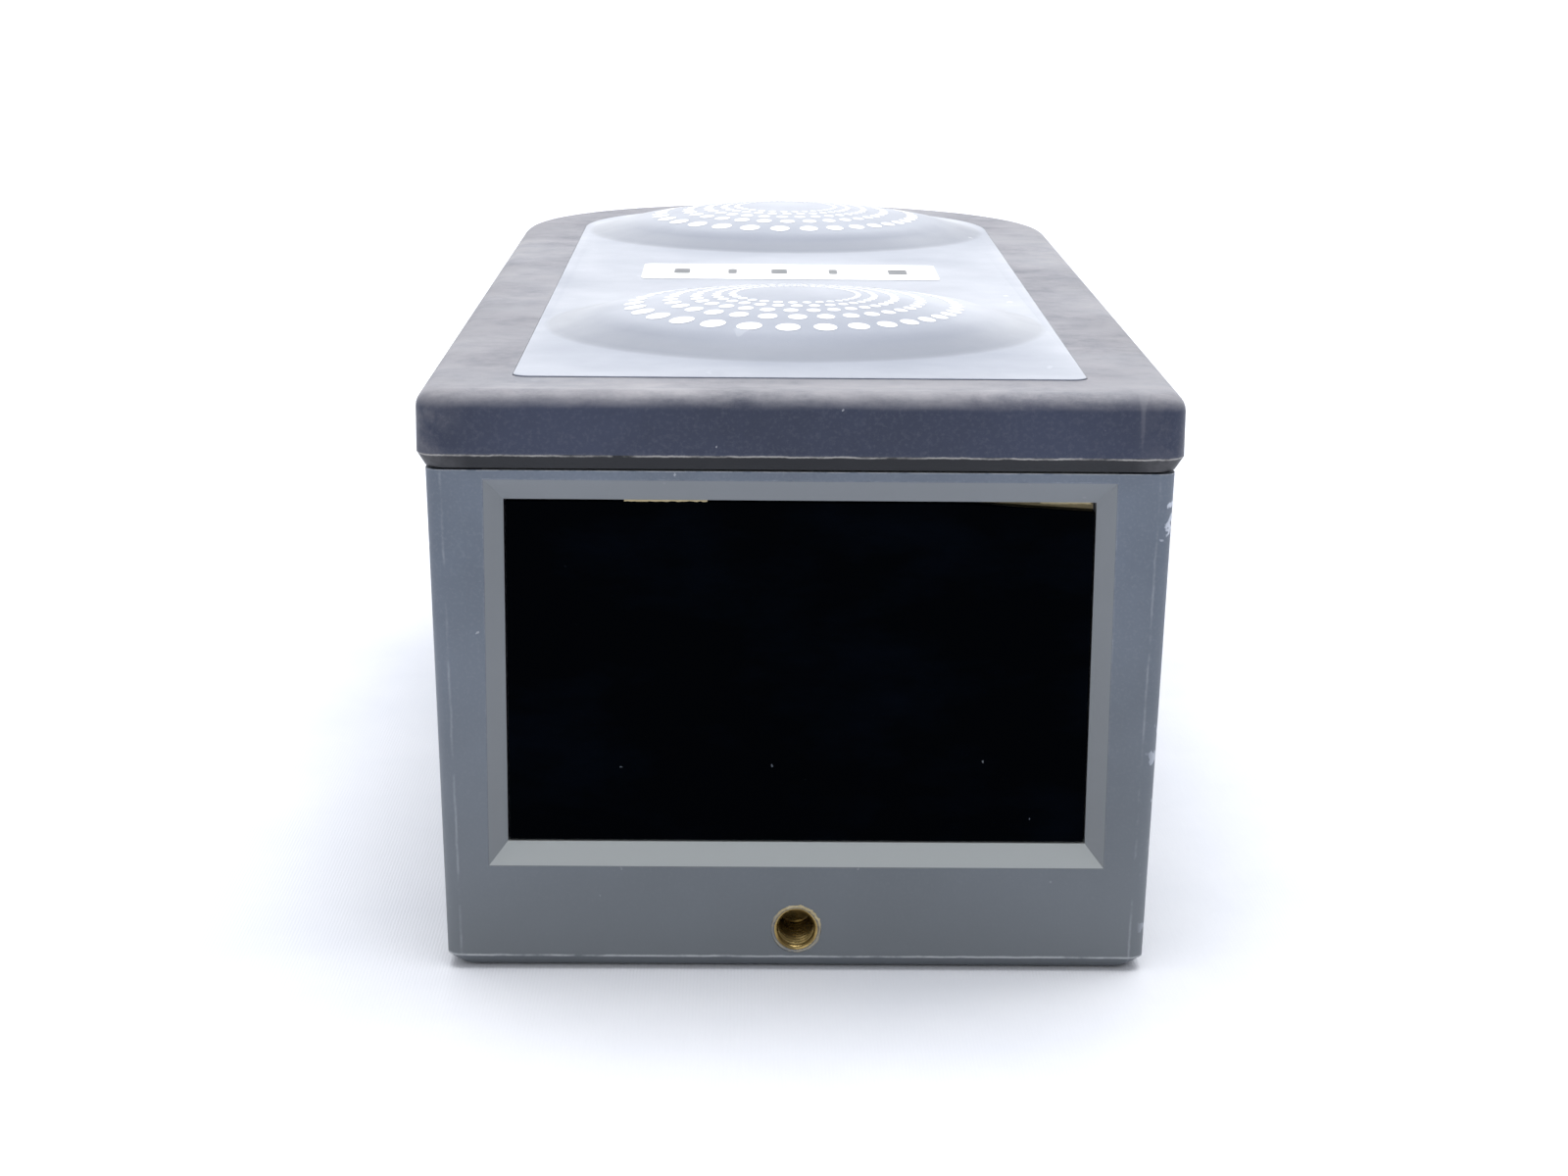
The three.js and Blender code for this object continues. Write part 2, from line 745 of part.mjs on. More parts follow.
function powerRocker() {
  const valley = 1.9;
  const tipAngle = 0.42;
  const upper = arc(0, 0, rockerReach, Math.PI / 2 - tipAngle, Math.PI / 2 + tipAngle, 5);
  const lower = arc(0, 0, rockerReach, -Math.PI / 2 - tipAngle, -Math.PI / 2 + tipAngle, 5);
  const outline = [new THREE.Vector2(valley, 0), ...upper, ...lower];
  const width = rockerMouth.width - 2 * gap;
  const prismX = new THREE.ExtrudeGeometry(new THREE.Shape(outline), {
    depth: width,
    bevelEnabled: false,
  });
  prismX.translate(0, 0, -width / 2);
  prismX.applyMatrix4(
    new THREE.Matrix4().makeBasis(
      new THREE.Vector3(0, 1, 0),
      new THREE.Vector3(0, 0, 1),
      new THREE.Vector3(1, 0, 0),
    ),
  );
  return prismX.translate(rockerX, rockerPivotY, rearPlateMiddle);
}

function ventPlug() {
  const headY = rearFaceY + gap;
  const profile = [
    [0, rearPlateY - 3],
    [ventStem, rearPlateY - 3],
    [ventStem, headY],
    [4.2, headY],
    [4.2, headY + 1],
    [3.4, headY + 1.8],
    [1, headY + 1.8],
    [1, headY + 0.6],
    [0, headY + 0.6],
  ];
  return turned("y", profile, [0, 0, rearPlateMiddle], arcSteps.small);
}

// ---------------------------------------------------------------- chassis
const chassisZ = floorTop + gap + standoffHeight + gap;
const chassisTop = chassisZ + chassisThickness;
const chassisFront = frontY + 46;
const chassisBack = endY + 30;
const boardZ = chassisTop + studHeight + gap;

const mainBoard = { x0: -50, x1: 50, y0: frontY + 86, y1: frontY + 216 };
const powerBoard = { x0: -40, x1: 40, y0: frontY + 226, y1: frontY + 278 };

function studsUnder({ x0, x1, y0, y1 }) {
  const inset = 5;
  return [x0 + inset, x1 - inset].flatMap((x) =>
    [y0 + inset, y1 - inset].map((y) =>
      bar("z", 2.5, chassisZ + 0.5, chassisTop + studHeight, [x, y, 0], arcSteps.small),
    ),
  );
}

function chassisPlate() {
  const plate = block(
    -chassisHalfWidth,
    chassisHalfWidth,
    chassisFront,
    chassisBack,
    chassisZ,
    chassisTop,
  );
  const holes = standoffPlaces.map(([x, y]) =>
    bar("z", standoffStud + 0.5, chassisZ - 1, chassisTop + 1, [x, y, 0], arcSteps.small),
  );
  return cut(join(plate, ...studsUnder(mainBoard), ...studsUnder(powerBoard)), ...holes);
}

function standoff(x, y) {
  const z0 = floorTop + gap;
  const body = bar("z", 3.4, z0, z0 + standoffHeight, [x, y, 0], 6);
  const studs = bar("z", standoffStud, z0 - 2.5, chassisTop + 1.5, [x, y, 0], arcSteps.small);
  return join(body, studs);
}

// ---------------------------------------------------------------- optics
const bracketFront = chassisFront + 7;
const bracketThickness = 2;
const bracketBack = bracketFront + bracketThickness;
const bracketHalf = 60;
const bracketTop = lensHeight + 36;
const focusRingRadius = barrelRadius + focusRingWall;
const lensXs = { left: -lensSpacing / 2, right: lensSpacing / 2 };
const barrelFront = bracketFront - 22;
const barrelBack = barrelFront + barrelLength;
const mountBack = bracketBack + gap + 16;
const baffleBack = barrelFront - 2;
const baffleThickness = 1.6;
const hoodLength = 11;

function sensorBracket() {
  const z0 = chassisTop + gap;
  const plate = block(-bracketHalf, bracketHalf, bracketFront, bracketBack, z0, bracketTop);
  const foot = block(-bracketHalf, bracketHalf, bracketFront, bracketFront + 26, z0, z0 + 2);
  const holes = Object.values(lensXs).map((x) =>
    bar("y", barrelRadius + gap, bracketFront - 1, bracketBack + 1, [x, 0, lensHeight]),
  );
  return cut(join(plate, foot), ...holes);
}

function lensMount(x) {
  const y0 = bracketBack + gap;
  const half = barrelRadius + lensMountWall;
  const mount = block(x - half, x + half, y0, mountBack, lensHeight - half, lensHeight + half);
  const seat = bar("y", barrelRadius + gap, y0 - 1, barrelBack + gap, [x, 0, lensHeight]);
  const bore = bar("y", 10, y0 - 1, mountBack + 1, [x, 0, lensHeight]);
  return cut(mount, seat, bore);
}

function cameraBoard(x) {
  const y0 = mountBack + gap;
  const half = 21;
  const z0 = lensHeight - half;
  const z1 = lensHeight + half;
  return join(
    block(x - half, x + half, y0, y0 + boardThickness, z0, z1),
    block(x - 6, x + 6, y0 - 1.5, y0 + 0.5, lensHeight - 6, lensHeight + 6),
    block(x - 9, x + 9, y0 + 1, y0 + boardThickness + 3, z0 + 2, z0 + 7),
    block(x - 7, x + 7, y0 + 1, y0 + boardThickness + 1.4, lensHeight + 2, lensHeight + 14),
  );
}

function lensBarrel(x) {
  const profile = [
    [barrelRadius, barrelBack],
    [barrelBore - 2.4, barrelBack],
    [barrelBore - 2.4, barrelBack - 6],
    [barrelBore, barrelBack - 6],
    [barrelBore, barrelFront],
    [barrelRadius + 1.5, barrelFront],
    [barrelRadius + 1.5, barrelFront + 3],
    [barrelRadius, barrelFront + 3],
    [barrelRadius, barrelBack],
  ];
  return turned("y", profile, [x, 0, lensHeight], arcSteps.lens);
}

function focusRing(x) {
  const y0 = barrelFront + 5;
  const y1 = y0 + focusRingWidth;
  const ring = bar("y", focusRingRadius, y0, y1, [x, 0, lensHeight], 28);
  const bore = bar("y", barrelRadius + gap, y0 - 1, y1 + 1, [x, 0, lensHeight], arcSteps.lens);
  const notches = [];
  const count = 14;
  for (let i = 0; i < count; i++) {
    const angle = (2 * Math.PI * i) / count;
    const notch = block(-0.9, 0.9, y0 - 1, y1 + 1, focusRingRadius - 0.9, focusRingRadius + 1);
    notches.push(notch.rotateY(angle).translate(x, 0, lensHeight));
  }
  return cut(ring, bore, ...notches);
}

const cellFront = barrelFront + cellTravel + 0.8;
const cellLength = 12;

function lensCell(x) {
  const outer = barrelBore - gap;
  const inner = 9;
  const profile = [
    [outer, cellFront + cellLength],
    [inner - 1.5, cellFront + cellLength],
    [inner - 1.5, cellFront + cellLength - 2],
    [inner, cellFront + cellLength - 2],
    [inner, cellFront],
    [outer, cellFront],
    [outer, cellFront + cellLength],
  ];
  return turned("y", profile, [x, 0, lensHeight], arcSteps.lens);
}

function lensGlass(x) {
  const edge = 9 - gap;
  const middle = cellFront + 6;
  const profile = [
    [0, middle - 3.4],
    [edge * 0.55, middle - 2.8],
    [edge, middle - 1.4],
    [edge, middle + 1.4],
    [edge * 0.55, middle + 2.8],
    [0, middle + 3.4],
  ];
  return turned("y", profile, [x, 0, lensHeight]);
}

function lightBaffle() {
  const y1 = baffleBack;
  const y0 = y1 - baffleThickness;
  const plate = block(-bracketHalf, bracketHalf, y0, y1, ledgeOpening.low, ledgeOpening.high);
  const throat = barrelRadius + 1;
  const mouth = throat + 6;
  const wall = 1.4;
  const hoods = Object.values(lensXs).map((x) =>
    turned(
      "y",
      [
        [throat, y1 - 0.2],
        [throat, y0],
        [mouth, y0 - hoodLength],
        [mouth + wall, y0 - hoodLength],
        [throat + wall, y1 - 0.2],
        [throat, y1 - 0.2],
      ],
      [x, 0, lensHeight],
      arcSteps.lens,
    ),
  );
  const holes = Object.values(lensXs).map((x) =>
    bar("y", throat, y0 - 1, y1 + 1, [x, 0, lensHeight], arcSteps.lens),
  );
  const posts = [-1, 1].flatMap((sx) =>
    [-1, 1].map((sz) => {
      const place = [sx * (bracketHalf - 4), 0, lensHeight + sz * 30];
      return bar("y", 2.5, y1 - 0.5, bracketFront - gap, place, arcSteps.small);
    }),
  );
  return join(cut(plate, ...holes), ...hoods, ...posts);
}

const ledHalf = { x: 9, z: 33 };

function ledBoard() {
  const y1 = baffleBack - baffleThickness - gap;
  return block(
    -ledHalf.x,
    ledHalf.x,
    y1 - boardThickness,
    y1,
    lensHeight - ledHalf.z,
    lensHeight + ledHalf.z,
  );
}

function ledLens() {
  const y1 = baffleBack - baffleThickness - boardThickness - 2 * gap;
  const y0 = y1 - 2;
  const strip = block(-7.5, 7.5, y0, y1, lensHeight - 30, lensHeight + 30);
  const bumps = [];
  const rows = 6;
  for (let row = 0; row < rows; row++) {
    const z = lensHeight + (row - (rows - 1) / 2) * 10;
    const bump = [[0, y0 + 0.5], [3.6, y0 + 0.5], [3.6, y0 - 0.8], [2.6, y0 - 2.4], [0, y0 - 3.2]];
    bumps.push(turned("y", bump, [0, 0, z], arcSteps.small));
  }
  return join(strip, ...bumps);
}

function finned(x0, x1, y0, y1, z0, z1, base, along) {
  const fins = 6;
  const parts = [];
  if (along === "y") {
    parts.push(block(x0, x1, y0, y0 + base, z0, z1));
    const step = (x1 - x0 - 1.2) / (fins - 1);
    for (let i = 0; i < fins; i++) {
      parts.push(block(x0 + i * step, x0 + i * step + 1.2, y0, y1, z0, z1));
    }
  } else {
    parts.push(block(x0, x1, y0, y1, z0, z0 + base));
    const step = (y1 - y0 - 1.2) / (fins - 1);
    for (let i = 0; i < fins; i++) {
      parts.push(block(x0, x1, y0 + i * step, y0 + i * step + 1.2, z0, z1));
    }
  }
  return join(...parts);
}

const ledHeatsink = () =>
  finned(-10, 10, baffleBack + gap, baffleBack + 15, lensHeight - 30, lensHeight + 30, 3, "y");

// ---------------------------------------------------------------- electronics
const processor = { x: 0, y: (mainBoard.y0 + mainBoard.y1) / 2, half: 16, height: 2.4 };

function mainCircuit() {
  const top = boardZ + boardThickness;
  const { x0, x1, y0, y1 } = mainBoard;
  const { x, y, half, height } = processor;
  const parts = [
    block(x0, x1, y0, y1, boardZ, top),
    block(x - half, x + half, y - half, y + half, top - 0.5, top + height),
    block(x0 + 8, x0 + 26, y0 + 4, y0 + 10, top - 0.5, top + 6),
    block(x1 - 26, x1 - 8, y0 + 4, y0 + 10, top - 0.5, top + 6),
    block(x0 + 12, x0 + 40, y1 - 14, y1 - 6, top - 0.5, top + 9),
  ];
  for (let i = 0; i < 4; i++) {
    const chipX = x0 + 14 + i * 20;
    parts.push(block(chipX, chipX + 13, y0 + 24, y0 + 34, top - 0.5, top + 1.4));
    parts.push(bar("z", 4, top - 0.5, top + 11, [x1 - 12 - i * 11, y1 - 26, 0], arcSteps.small));
  }
  return join(...parts);
}

function mainHeatsink() {
  const { x, y, half, height } = processor;
  const z0 = boardZ + boardThickness + height + gap;
  return finned(x - half, x + half, y - half, y + half, z0, z0 + 14, 3, "z");
}

const powerPlug = {
  x0: powerBoard.x0 + 3,
  x1: powerBoard.x0 + 17,
  y0: powerBoard.y0 + 30,
  y1: powerBoard.y0 + 46,
  height: 8,
};

function powerCircuit() {
  const top = boardZ + boardThickness;
  const { x0, x1, y0, y1 } = powerBoard;
  return join(
    block(x0, x1, y0, y1, boardZ, top),
    block(x0 + 24, x0 + 50, y0 + 12, y0 + 40, top - 0.5, top + 22),
    bar("z", 7, top - 0.5, top + 24, [x1 - 14, y0 + 16, 0], arcSteps.small),
    bar("z", 7, top - 0.5, top + 24, [x1 - 14, y0 + 34, 0], arcSteps.small),
    block(powerPlug.x0, powerPlug.x1, powerPlug.y0, powerPlug.y1, top - 0.5, top + powerPlug.height),
  );
}

const pack = { half: 48, y0: powerBoard.y1 + 12, y1: powerBoard.y1 + 68, height: 40 };
const trayWall = 1.5;
const trayZ = chassisTop + gap;
const packZ = trayZ + trayWall + gap;

function batteryTray() {
  const grow = trayWall + gap;
  const z1 = trayZ + 16;
  const outer = block(-pack.half - grow, pack.half + grow, pack.y0 - grow, pack.y1 + grow, trayZ, z1);
  const inner = block(
    -pack.half - gap,
    pack.half + gap,
    pack.y0 - gap,
    pack.y1 + gap,
    trayZ + trayWall,
    z1 + 1,
  );
  return cut(outer, inner);
}

function batteryPack() {
  const cells = 4;
  const pitch = (2 * pack.half) / cells;
  const parts = [];
  for (let i = 0; i < cells; i++) {
    const x = -pack.half + (i + 0.5) * pitch;
    const z = packZ + pack.height / 2;
    parts.push(block(x - pitch / 2, x + pitch / 2, pack.y0, pack.y1, packZ, z));
    parts.push(
      upright(roundedRectangle(pitch + 0.02, pack.height, 8), pack.y0, pack.y1, x, z),
    );
  }
  return join(...parts);
}

function batteryStrap() {
  const y = (pack.y0 + pack.y1) / 2;
  const halfBand = 10;
  const top = packZ + pack.height + gap;
  const side = pack.half + gap + trayWall + 2 * gap;
  const thickness = 1.2;
  const outer = block(
    -side - thickness,
    side + thickness,
    y - halfBand,
    y + halfBand,
    chassisTop + gap,
    top + thickness,
  );
  const inner = block(-side, side, y - halfBand - 1, y + halfBand + 1, chassisTop - 1, top);
  return cut(outer, inner);
}

// A flat ribbon cable from a camera board down to the main board's socket.
function ribbon(x) {
  const halfRibbon = 7;
  const startY = mountBack + gap + boardThickness + 3 + gap;
  const startZ = lensHeight - 16.5;
  const endRibbonY = mainBoard.y0 + 7;
  const endZ = boardZ + boardThickness + 6 + gap;
  const middle = new THREE.CubicBezierCurve(
    new THREE.Vector2(startY, startZ),
    new THREE.Vector2(startY + 12, startZ),
    new THREE.Vector2(endRibbonY, endZ + 14),
    new THREE.Vector2(endRibbonY, endZ),
  );
  const steps = 10;
  const thick = 0.5;
  const left = [];
  const right = [];
  for (let i = 0; i <= steps; i++) {
    const point = middle.getPoint(i / steps);
    const along = middle.getTangent(i / steps);
    left.push(new THREE.Vector2(point.x - along.y * thick, point.y + along.x * thick));
    right.unshift(new THREE.Vector2(point.x + along.y * thick, point.y - along.x * thick));
  }
  const band = new THREE.ExtrudeGeometry(new THREE.Shape([...left, ...right]), {
    depth: 2 * halfRibbon,
    bevelEnabled: false,
  });
  band.translate(0, 0, -halfRibbon);
  band.applyMatrix4(
    new THREE.Matrix4().makeBasis(
      new THREE.Vector3(0, 1, 0),
      new THREE.Vector3(0, 0, 1),
      new THREE.Vector3(1, 0, 0),
    ),
  );
  return band.translate(x, 0, 0);
}

// The wires from the inlet round the battery to the power board.
function powerHarness() {
  const radius = 2.2;
  const besidePack = pack.half + 13;
  const plugY = (powerPlug.y0 + powerPlug.y1) / 2;
  const plugZ = boardZ + boardThickness + powerPlug.height / 2;
  const route = new THREE.CatmullRomCurve3([
    new THREE.Vector3(inletX, inletTailY - gap, rearPlateMiddle),
    new THREE.Vector3(inletX, inletTailY - 4, rearPlateMiddle),
    new THREE.Vector3(inletX - 8, inletTailY - 12, rearPlateMiddle + 2),
    new THREE.Vector3(2 - pack.half, pack.y1 + 14, rearPlateMiddle + 4),
    new THREE.Vector3(-besidePack, pack.y1 - 16, rearPlateMiddle),
    new THREE.Vector3(-besidePack, pack.y0 + 3, plugZ + 14),
    new THREE.Vector3(1 - besidePack, plugY + 11, plugZ + 6),
    new THREE.Vector3(-pack.half - 4, plugY + 1, plugZ),
    new THREE.Vector3(powerPlug.x0 - 5, plugY, plugZ),
    new THREE.Vector3(powerPlug.x0 - gap, plugY, plugZ),
  ]);
  const circle = new THREE.Shape(arc(0, 0, radius, 0, 2 * Math.PI, 8).slice(0, -1));
  return new THREE.ExtrudeGeometry(circle, { steps: 36, bevelEnabled: false, extrudePath: route });
}

// ---------------------------------------------------------------- the unit
piece("body_shell", bodyShell(), "housing");
piece("lid_shell", lidShell(), "lid");
piece("lid_gasket", lidGasket(), "rubber");
piece("top_panel", topPanel(), "panel");
piece("window_pane", windowPane(), "darkGlass");
piece("window_seal", windowSeal(), "adhesive");
piece("mount_insert", mountInsert(), "brass");

for (const [side, label] of [[-1, "left"], [1, "right"]]) {
  lidScrewYs.forEach((y, i) => piece(`lid_screw_${label}_${i + 1}`, lidScrew(side, y), "steel"));
}
footPlaces.forEach(([x, y], i) =>
  piece(`foot_pad_${i + 1}`, bar("z", footRadius, 0, footThickness, [x, y, 0]), "rubber"),
);

piece("rear_plate", rearPlate(), "blackMetal");
piece("rear_gasket", rearGasket(), "rubber");
rearScrewPlaces.forEach(([x, z], i) => piece(`rear_screw_${i + 1}`, rearScrew(x, z), "steel"));
piece("inlet_socket", inletSocket(), "blackPlastic");
piece("inlet_nut", inletNut(), "steel");
piece("rocker_bezel", rockerBezel(), "blackPlastic");
piece("power_rocker", powerRocker(), "greyPlastic");
piece("vent_plug", ventPlug(), "greyPlastic");

piece("chassis_plate", chassisPlate(), "aluminium");
standoffPlaces.forEach(([x, y], i) => piece(`standoff_${i + 1}`, standoff(x, y), "brass"));

piece("sensor_bracket", sensorBracket(), "aluminium");
for (const [label, x] of Object.entries(lensXs)) {
  piece(`lens_mount_${label}`, lensMount(x), "blackMetal");
  piece(`camera_board_${label}`, cameraBoard(x), "circuit");
  piece(`lens_barrel_${label}`, lensBarrel(x), "blackMetal");
  piece(`focus_ring_${label}`, focusRing(x), "blackPlastic");
  piece(`lens_cell_${label}`, lensCell(x), "blackMetal");
  piece(`lens_glass_${label}`, lensGlass(x), "lens");
  piece(`ribbon_cable_${label}`, ribbon(x), "cable");
}
piece("light_baffle", lightBaffle(), "blackPlastic");
piece("led_board", ledBoard(), "circuit");
piece("led_lens_strip", ledLens(), "clearPlastic");
piece("led_heatsink", ledHeatsink(), "aluminium");

piece("main_board", mainCircuit(), "circuit");
piece("processor_heatsink", mainHeatsink(), "aluminium");
piece("power_board", powerCircuit(), "circuit");
piece("battery_tray", batteryTray(), "aluminium");
piece("battery_pack", batteryPack(), "cell");
piece("battery_strap", batteryStrap(), "webbing");
piece("power_harness", powerHarness(), "cable");

export default unit;
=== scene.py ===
import json
import math
import random

import bmesh
import bpy
from mathutils import Matrix, Vector


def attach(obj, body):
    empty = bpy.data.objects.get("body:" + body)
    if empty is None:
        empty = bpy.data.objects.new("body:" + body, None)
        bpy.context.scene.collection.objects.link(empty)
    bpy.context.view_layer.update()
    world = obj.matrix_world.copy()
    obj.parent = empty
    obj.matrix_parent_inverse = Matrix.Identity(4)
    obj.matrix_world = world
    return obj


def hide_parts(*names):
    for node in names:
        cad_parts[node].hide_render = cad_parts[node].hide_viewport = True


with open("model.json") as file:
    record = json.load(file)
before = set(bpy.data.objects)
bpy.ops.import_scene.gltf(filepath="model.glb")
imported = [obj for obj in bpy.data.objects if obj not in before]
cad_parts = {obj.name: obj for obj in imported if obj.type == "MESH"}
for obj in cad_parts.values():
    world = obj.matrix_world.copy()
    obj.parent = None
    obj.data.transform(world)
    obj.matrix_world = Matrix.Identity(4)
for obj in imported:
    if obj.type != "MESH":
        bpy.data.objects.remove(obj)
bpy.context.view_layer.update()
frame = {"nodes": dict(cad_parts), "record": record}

mm = 0.001
random.seed(7)

# the unit seen from above: straight sides, round front corners, half-round back
plan = {
    "lidWidth": 165 * mm,
    "frontY": -202 * mm,
    "endY": 119.5 * mm,  # centre of the half-round back
    "backSteps": 64,
    "cornerSteps": 6,
    "join": 1e-6,  # points nearer than this are one
}
draft = math.radians(1.5)
shoulderZ = 113.8 * mm
overhang = 1.85 * mm
sides = (-1, 1)
insertZ = 9.8 * mm
domeCentres = (-100 * mm, 112 * mm)
panelTop = 131.5 * mm


def bodyInset(z):
    return overhang + (shoulderZ - z) * math.tan(draft)


def startOutline(bm, inset, corner, z):
    half = plan["lidWidth"] / 2 - inset
    front = plan["frontY"] + inset
    turns = [(half, plan["endY"]), (half, front), (-half, front), (-half, plan["endY"])]
    verts = [bm.verts.new((x, y, z)) for x, y in turns]
    for a, b in zip(verts, verts[1:]):
        bm.edges.new((a, b))
    bmesh.ops.spin(bm, geom=[verts[-1]], cent=(0, plan["endY"], z), axis=(0, 0, 1),
                   angle=-math.pi, steps=plan["backSteps"])
    bmesh.ops.remove_doubles(bm, verts=bm.verts[:], dist=plan["join"])
    bmesh.ops.contextual_create(bm, geom=bm.edges[:])
    corners = [v for v in bm.verts if v.co.y < front + plan["join"]]
    bmesh.ops.bevel(bm, geom=corners, offset=corner, affect="VERTICES",
                    segments=plan["cornerSteps"], profile=0.5, material=-1)
    bm.faces.ensure_lookup_table()
    level = {"z": z, "inset": inset, "front": inset}
    return bm.faces[0], level


def moveLevel(bm, verts, level, z, inset, front=None):
    front = inset if front is None else front
    half = plan["lidWidth"] / 2
    length = plan["endY"] - plan["frontY"]
    wide = (half - inset) / (half - level["inset"])
    deep = (length - front) / (length - level["front"])
    back = [v for v in verts if v.co.y > plan["endY"] + plan["join"]]
    rest = [v for v in verts if v.co.y <= plan["endY"] + plan["join"]]
    about = Matrix.Translation((0, -plan["endY"], 0))
    bmesh.ops.scale(bm, vec=(wide, deep, 1), space=about, verts=rest)
    bmesh.ops.scale(bm, vec=(wide, wide, 1), space=about, verts=back)
    bmesh.ops.translate(bm, vec=(0, 0, z - level["z"]), verts=verts)
    level.update(z=z, inset=inset, front=front)


def pullFace(bm, face):
    attached = all(len(e.link_faces) > 1 for e in face.edges)
    made = bmesh.ops.extrude_face_region(bm, geom=[face])["geom"]
    if attached:
        bmesh.ops.delete(bm, geom=[face], context="FACES_ONLY")
    return next(g for g in made if isinstance(g, bmesh.types.BMFace))


def nextLevel(bm, face, level, z, inset, front=None):
    top = pullFace(bm, face)
    moveLevel(bm, top.verts[:], level, z, inset, front)
    return top


def facing(bm, direction, near):
    bm.normal_update()
    faces = [f for f in bm.faces if f.normal.dot(direction) > 0.995]
    return min(faces, key=lambda f: (f.calc_center_median() - near).length)


def carveRectangle(bm, face, lay, halfX, low, high):
    outwards = face.normal.copy()
    up = lay.to_3x3() @ Vector((0, 0, 1))
    middle = lay @ Vector((0, 0, (low + high) / 2))
    cuts = [((halfX, 0, 0), Vector((1, 0, 0))), ((-halfX, 0, 0), Vector((1, 0, 0))),
            ((0, 0, low), up), ((0, 0, high), up)]
    for place, direction in cuts:
        geom = face.verts[:] + face.edges[:] + [face]
        bmesh.ops.bisect_plane(bm, geom=geom, plane_co=lay @ Vector(place), plane_no=direction)
        face = facing(bm, outwards, middle)
    return face


def tidyNormals(bm):
    bmesh.ops.remove_doubles(bm, verts=bm.verts[:], dist=plan["join"])
    bmesh.ops.recalc_face_normals(bm, faces=bm.faces[:])


def addBox(bm, low, high, corner=0, axis=1, steps=6):
    size = Vector(high) - Vector(low)
    lay = Matrix.Translation((Vector(low) + Vector(high)) / 2) @ Matrix.Diagonal((*size, 1))
    verts = bmesh.ops.create_cube(bm, size=1, matrix=lay)["verts"]
    if corner:
        edges = dict.fromkeys(e for v in verts for e in v.link_edges)
        long = [e for e in edges if abs((e.verts[0].co - e.verts[1].co)[axis]) > plan["join"]]
        bmesh.ops.bevel(bm, geom=long, offset=corner, affect="EDGES", segments=steps,
                        profile=0.5, material=-1)


def addRod(bm, axis, radius, start, end, place, steps=32, endRadius=None):
    turn = {"x": Matrix.Rotation(math.pi / 2, 4, "Y"), "y": Matrix.Rotation(-math.pi / 2, 4, "X"),
            "z": Matrix.Identity(4)}[axis]
    along = turn.to_3x3() @ Vector((0, 0, 1))
    lay = Matrix.Translation(Vector(place) + along * (start + end) / 2) @ turn
    bmesh.ops.create_cone(bm, cap_ends=True, segments=steps, radius1=radius,
                          radius2=radius if endRadius is None else endRadius,
                          depth=end - start, matrix=lay)


def addTurned(bm, profile, lay, steps=96):
    verts = [bm.verts.new((r, 0, z)) for r, z in profile]
    edges = [bm.edges.new(pair) for pair in zip(verts, verts[1:])]
    bmesh.ops.spin(bm, geom=verts + edges, cent=(0, 0, 0), axis=(0, 0, 1),
                   angle=2 * math.pi, steps=steps, use_merge=True)
    bmesh.ops.transform(bm, matrix=lay, verts=[v for v in bm.verts if not v.tag])
    tidyNormals(bm)
    for v in bm.verts:
        v.tag = True


def linkObject(name, data):
    obj = bpy.data.objects.new(name, data)
    bpy.context.scene.collection.objects.link(obj)
    return obj


def makeObject(name, bm):
    mesh = bpy.data.meshes.new(name)
    bm.to_mesh(mesh)
    bm.free()
    return linkObject(name, mesh)


def combine(target, bm, operation):
    tool = makeObject("tool", bm)
    modifier = target.modifiers.new("combine", "BOOLEAN")
    modifier.object = tool
    modifier.operation = operation
    modifier.solver = "EXACT"
    graph = bpy.context.evaluated_depsgraph_get()
    mesh = bpy.data.meshes.new_from_object(target.evaluated_get(graph))
    target.modifiers.clear()
    target.data = mesh
    bpy.data.objects.remove(tool)


def roundEdges(obj, width, angle=20, segments=2):
    obj.data.shade_smooth()
    modifier = obj.modifiers.new("roundedEdges", "BEVEL")
    modifier.width = width
    modifier.segments = segments
    modifier.limit_method = "ANGLE"
    modifier.angle_limit = math.radians(angle)
    modifier.harden_normals = True
    modifier.use_clamp_overlap = True


def settle(obj, body, slotName, replaced=()):
    obj.data.materials.clear()
    obj.data.materials.append(finishes[slotName])
    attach(obj, body)
    if replaced:
        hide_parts(*replaced)
    return obj


def setInputs(node, values):
    for key, value in values.items():
        socket = node.inputs[key]
        if isinstance(value, bpy.types.NodeSocket):
            node.id_data.links.new(value, socket)
        else:
            socket.default_value = value


def addNode(tree, kind, inputs=None, **settings):
    node = tree.nodes.new(kind)
    for key, value in settings.items():
        setattr(node, key, value)
    setInputs(node, inputs or {})
    return node


def maths(tree, operation, a, b=0.0, clamp=False):
    node = addNode(tree, "ShaderNodeMath", {0: a, 1: b}, operation=operation, use_clamp=clamp)
    return node.outputs[0]


def product(tree, first, *others):
    for other in others:
        first = maths(tree, "MULTIPLY", first, other)
    return first


def rescale(tree, value, low, high, toLow=0.0, toHigh=1.0):
    sockets = {"Value": value, "From Min": low, "From Max": high, "To Min": toLow, "To Max": toHigh}
    return addNode(tree, "ShaderNodeMapRange", sockets, clamp=True).outputs[0]


def paint(tree, amount, under, over):
    inputs = {0: amount, 6: under, 7: over}
    return addNode(tree, "ShaderNodeMix", inputs, data_type="RGBA").outputs[2]


def hexColour(code):
    parts = [int(code[i:i + 2], 16) / 255 for i in (0, 2, 4)]
    return (*[c / 12.92 if c <= 0.04045 else ((c + 0.055) / 1.055) ** 2.4 for c in parts], 1.0)


def objectPlace(tree, stretch=(1, 1, 1)):
    place = addNode(tree, "ShaderNodeTexCoord").outputs["Object"]
    if stretch == (1, 1, 1):
        return place
    return addNode(tree, "ShaderNodeMapping", {"Vector": place, "Scale": stretch}).outputs[0]


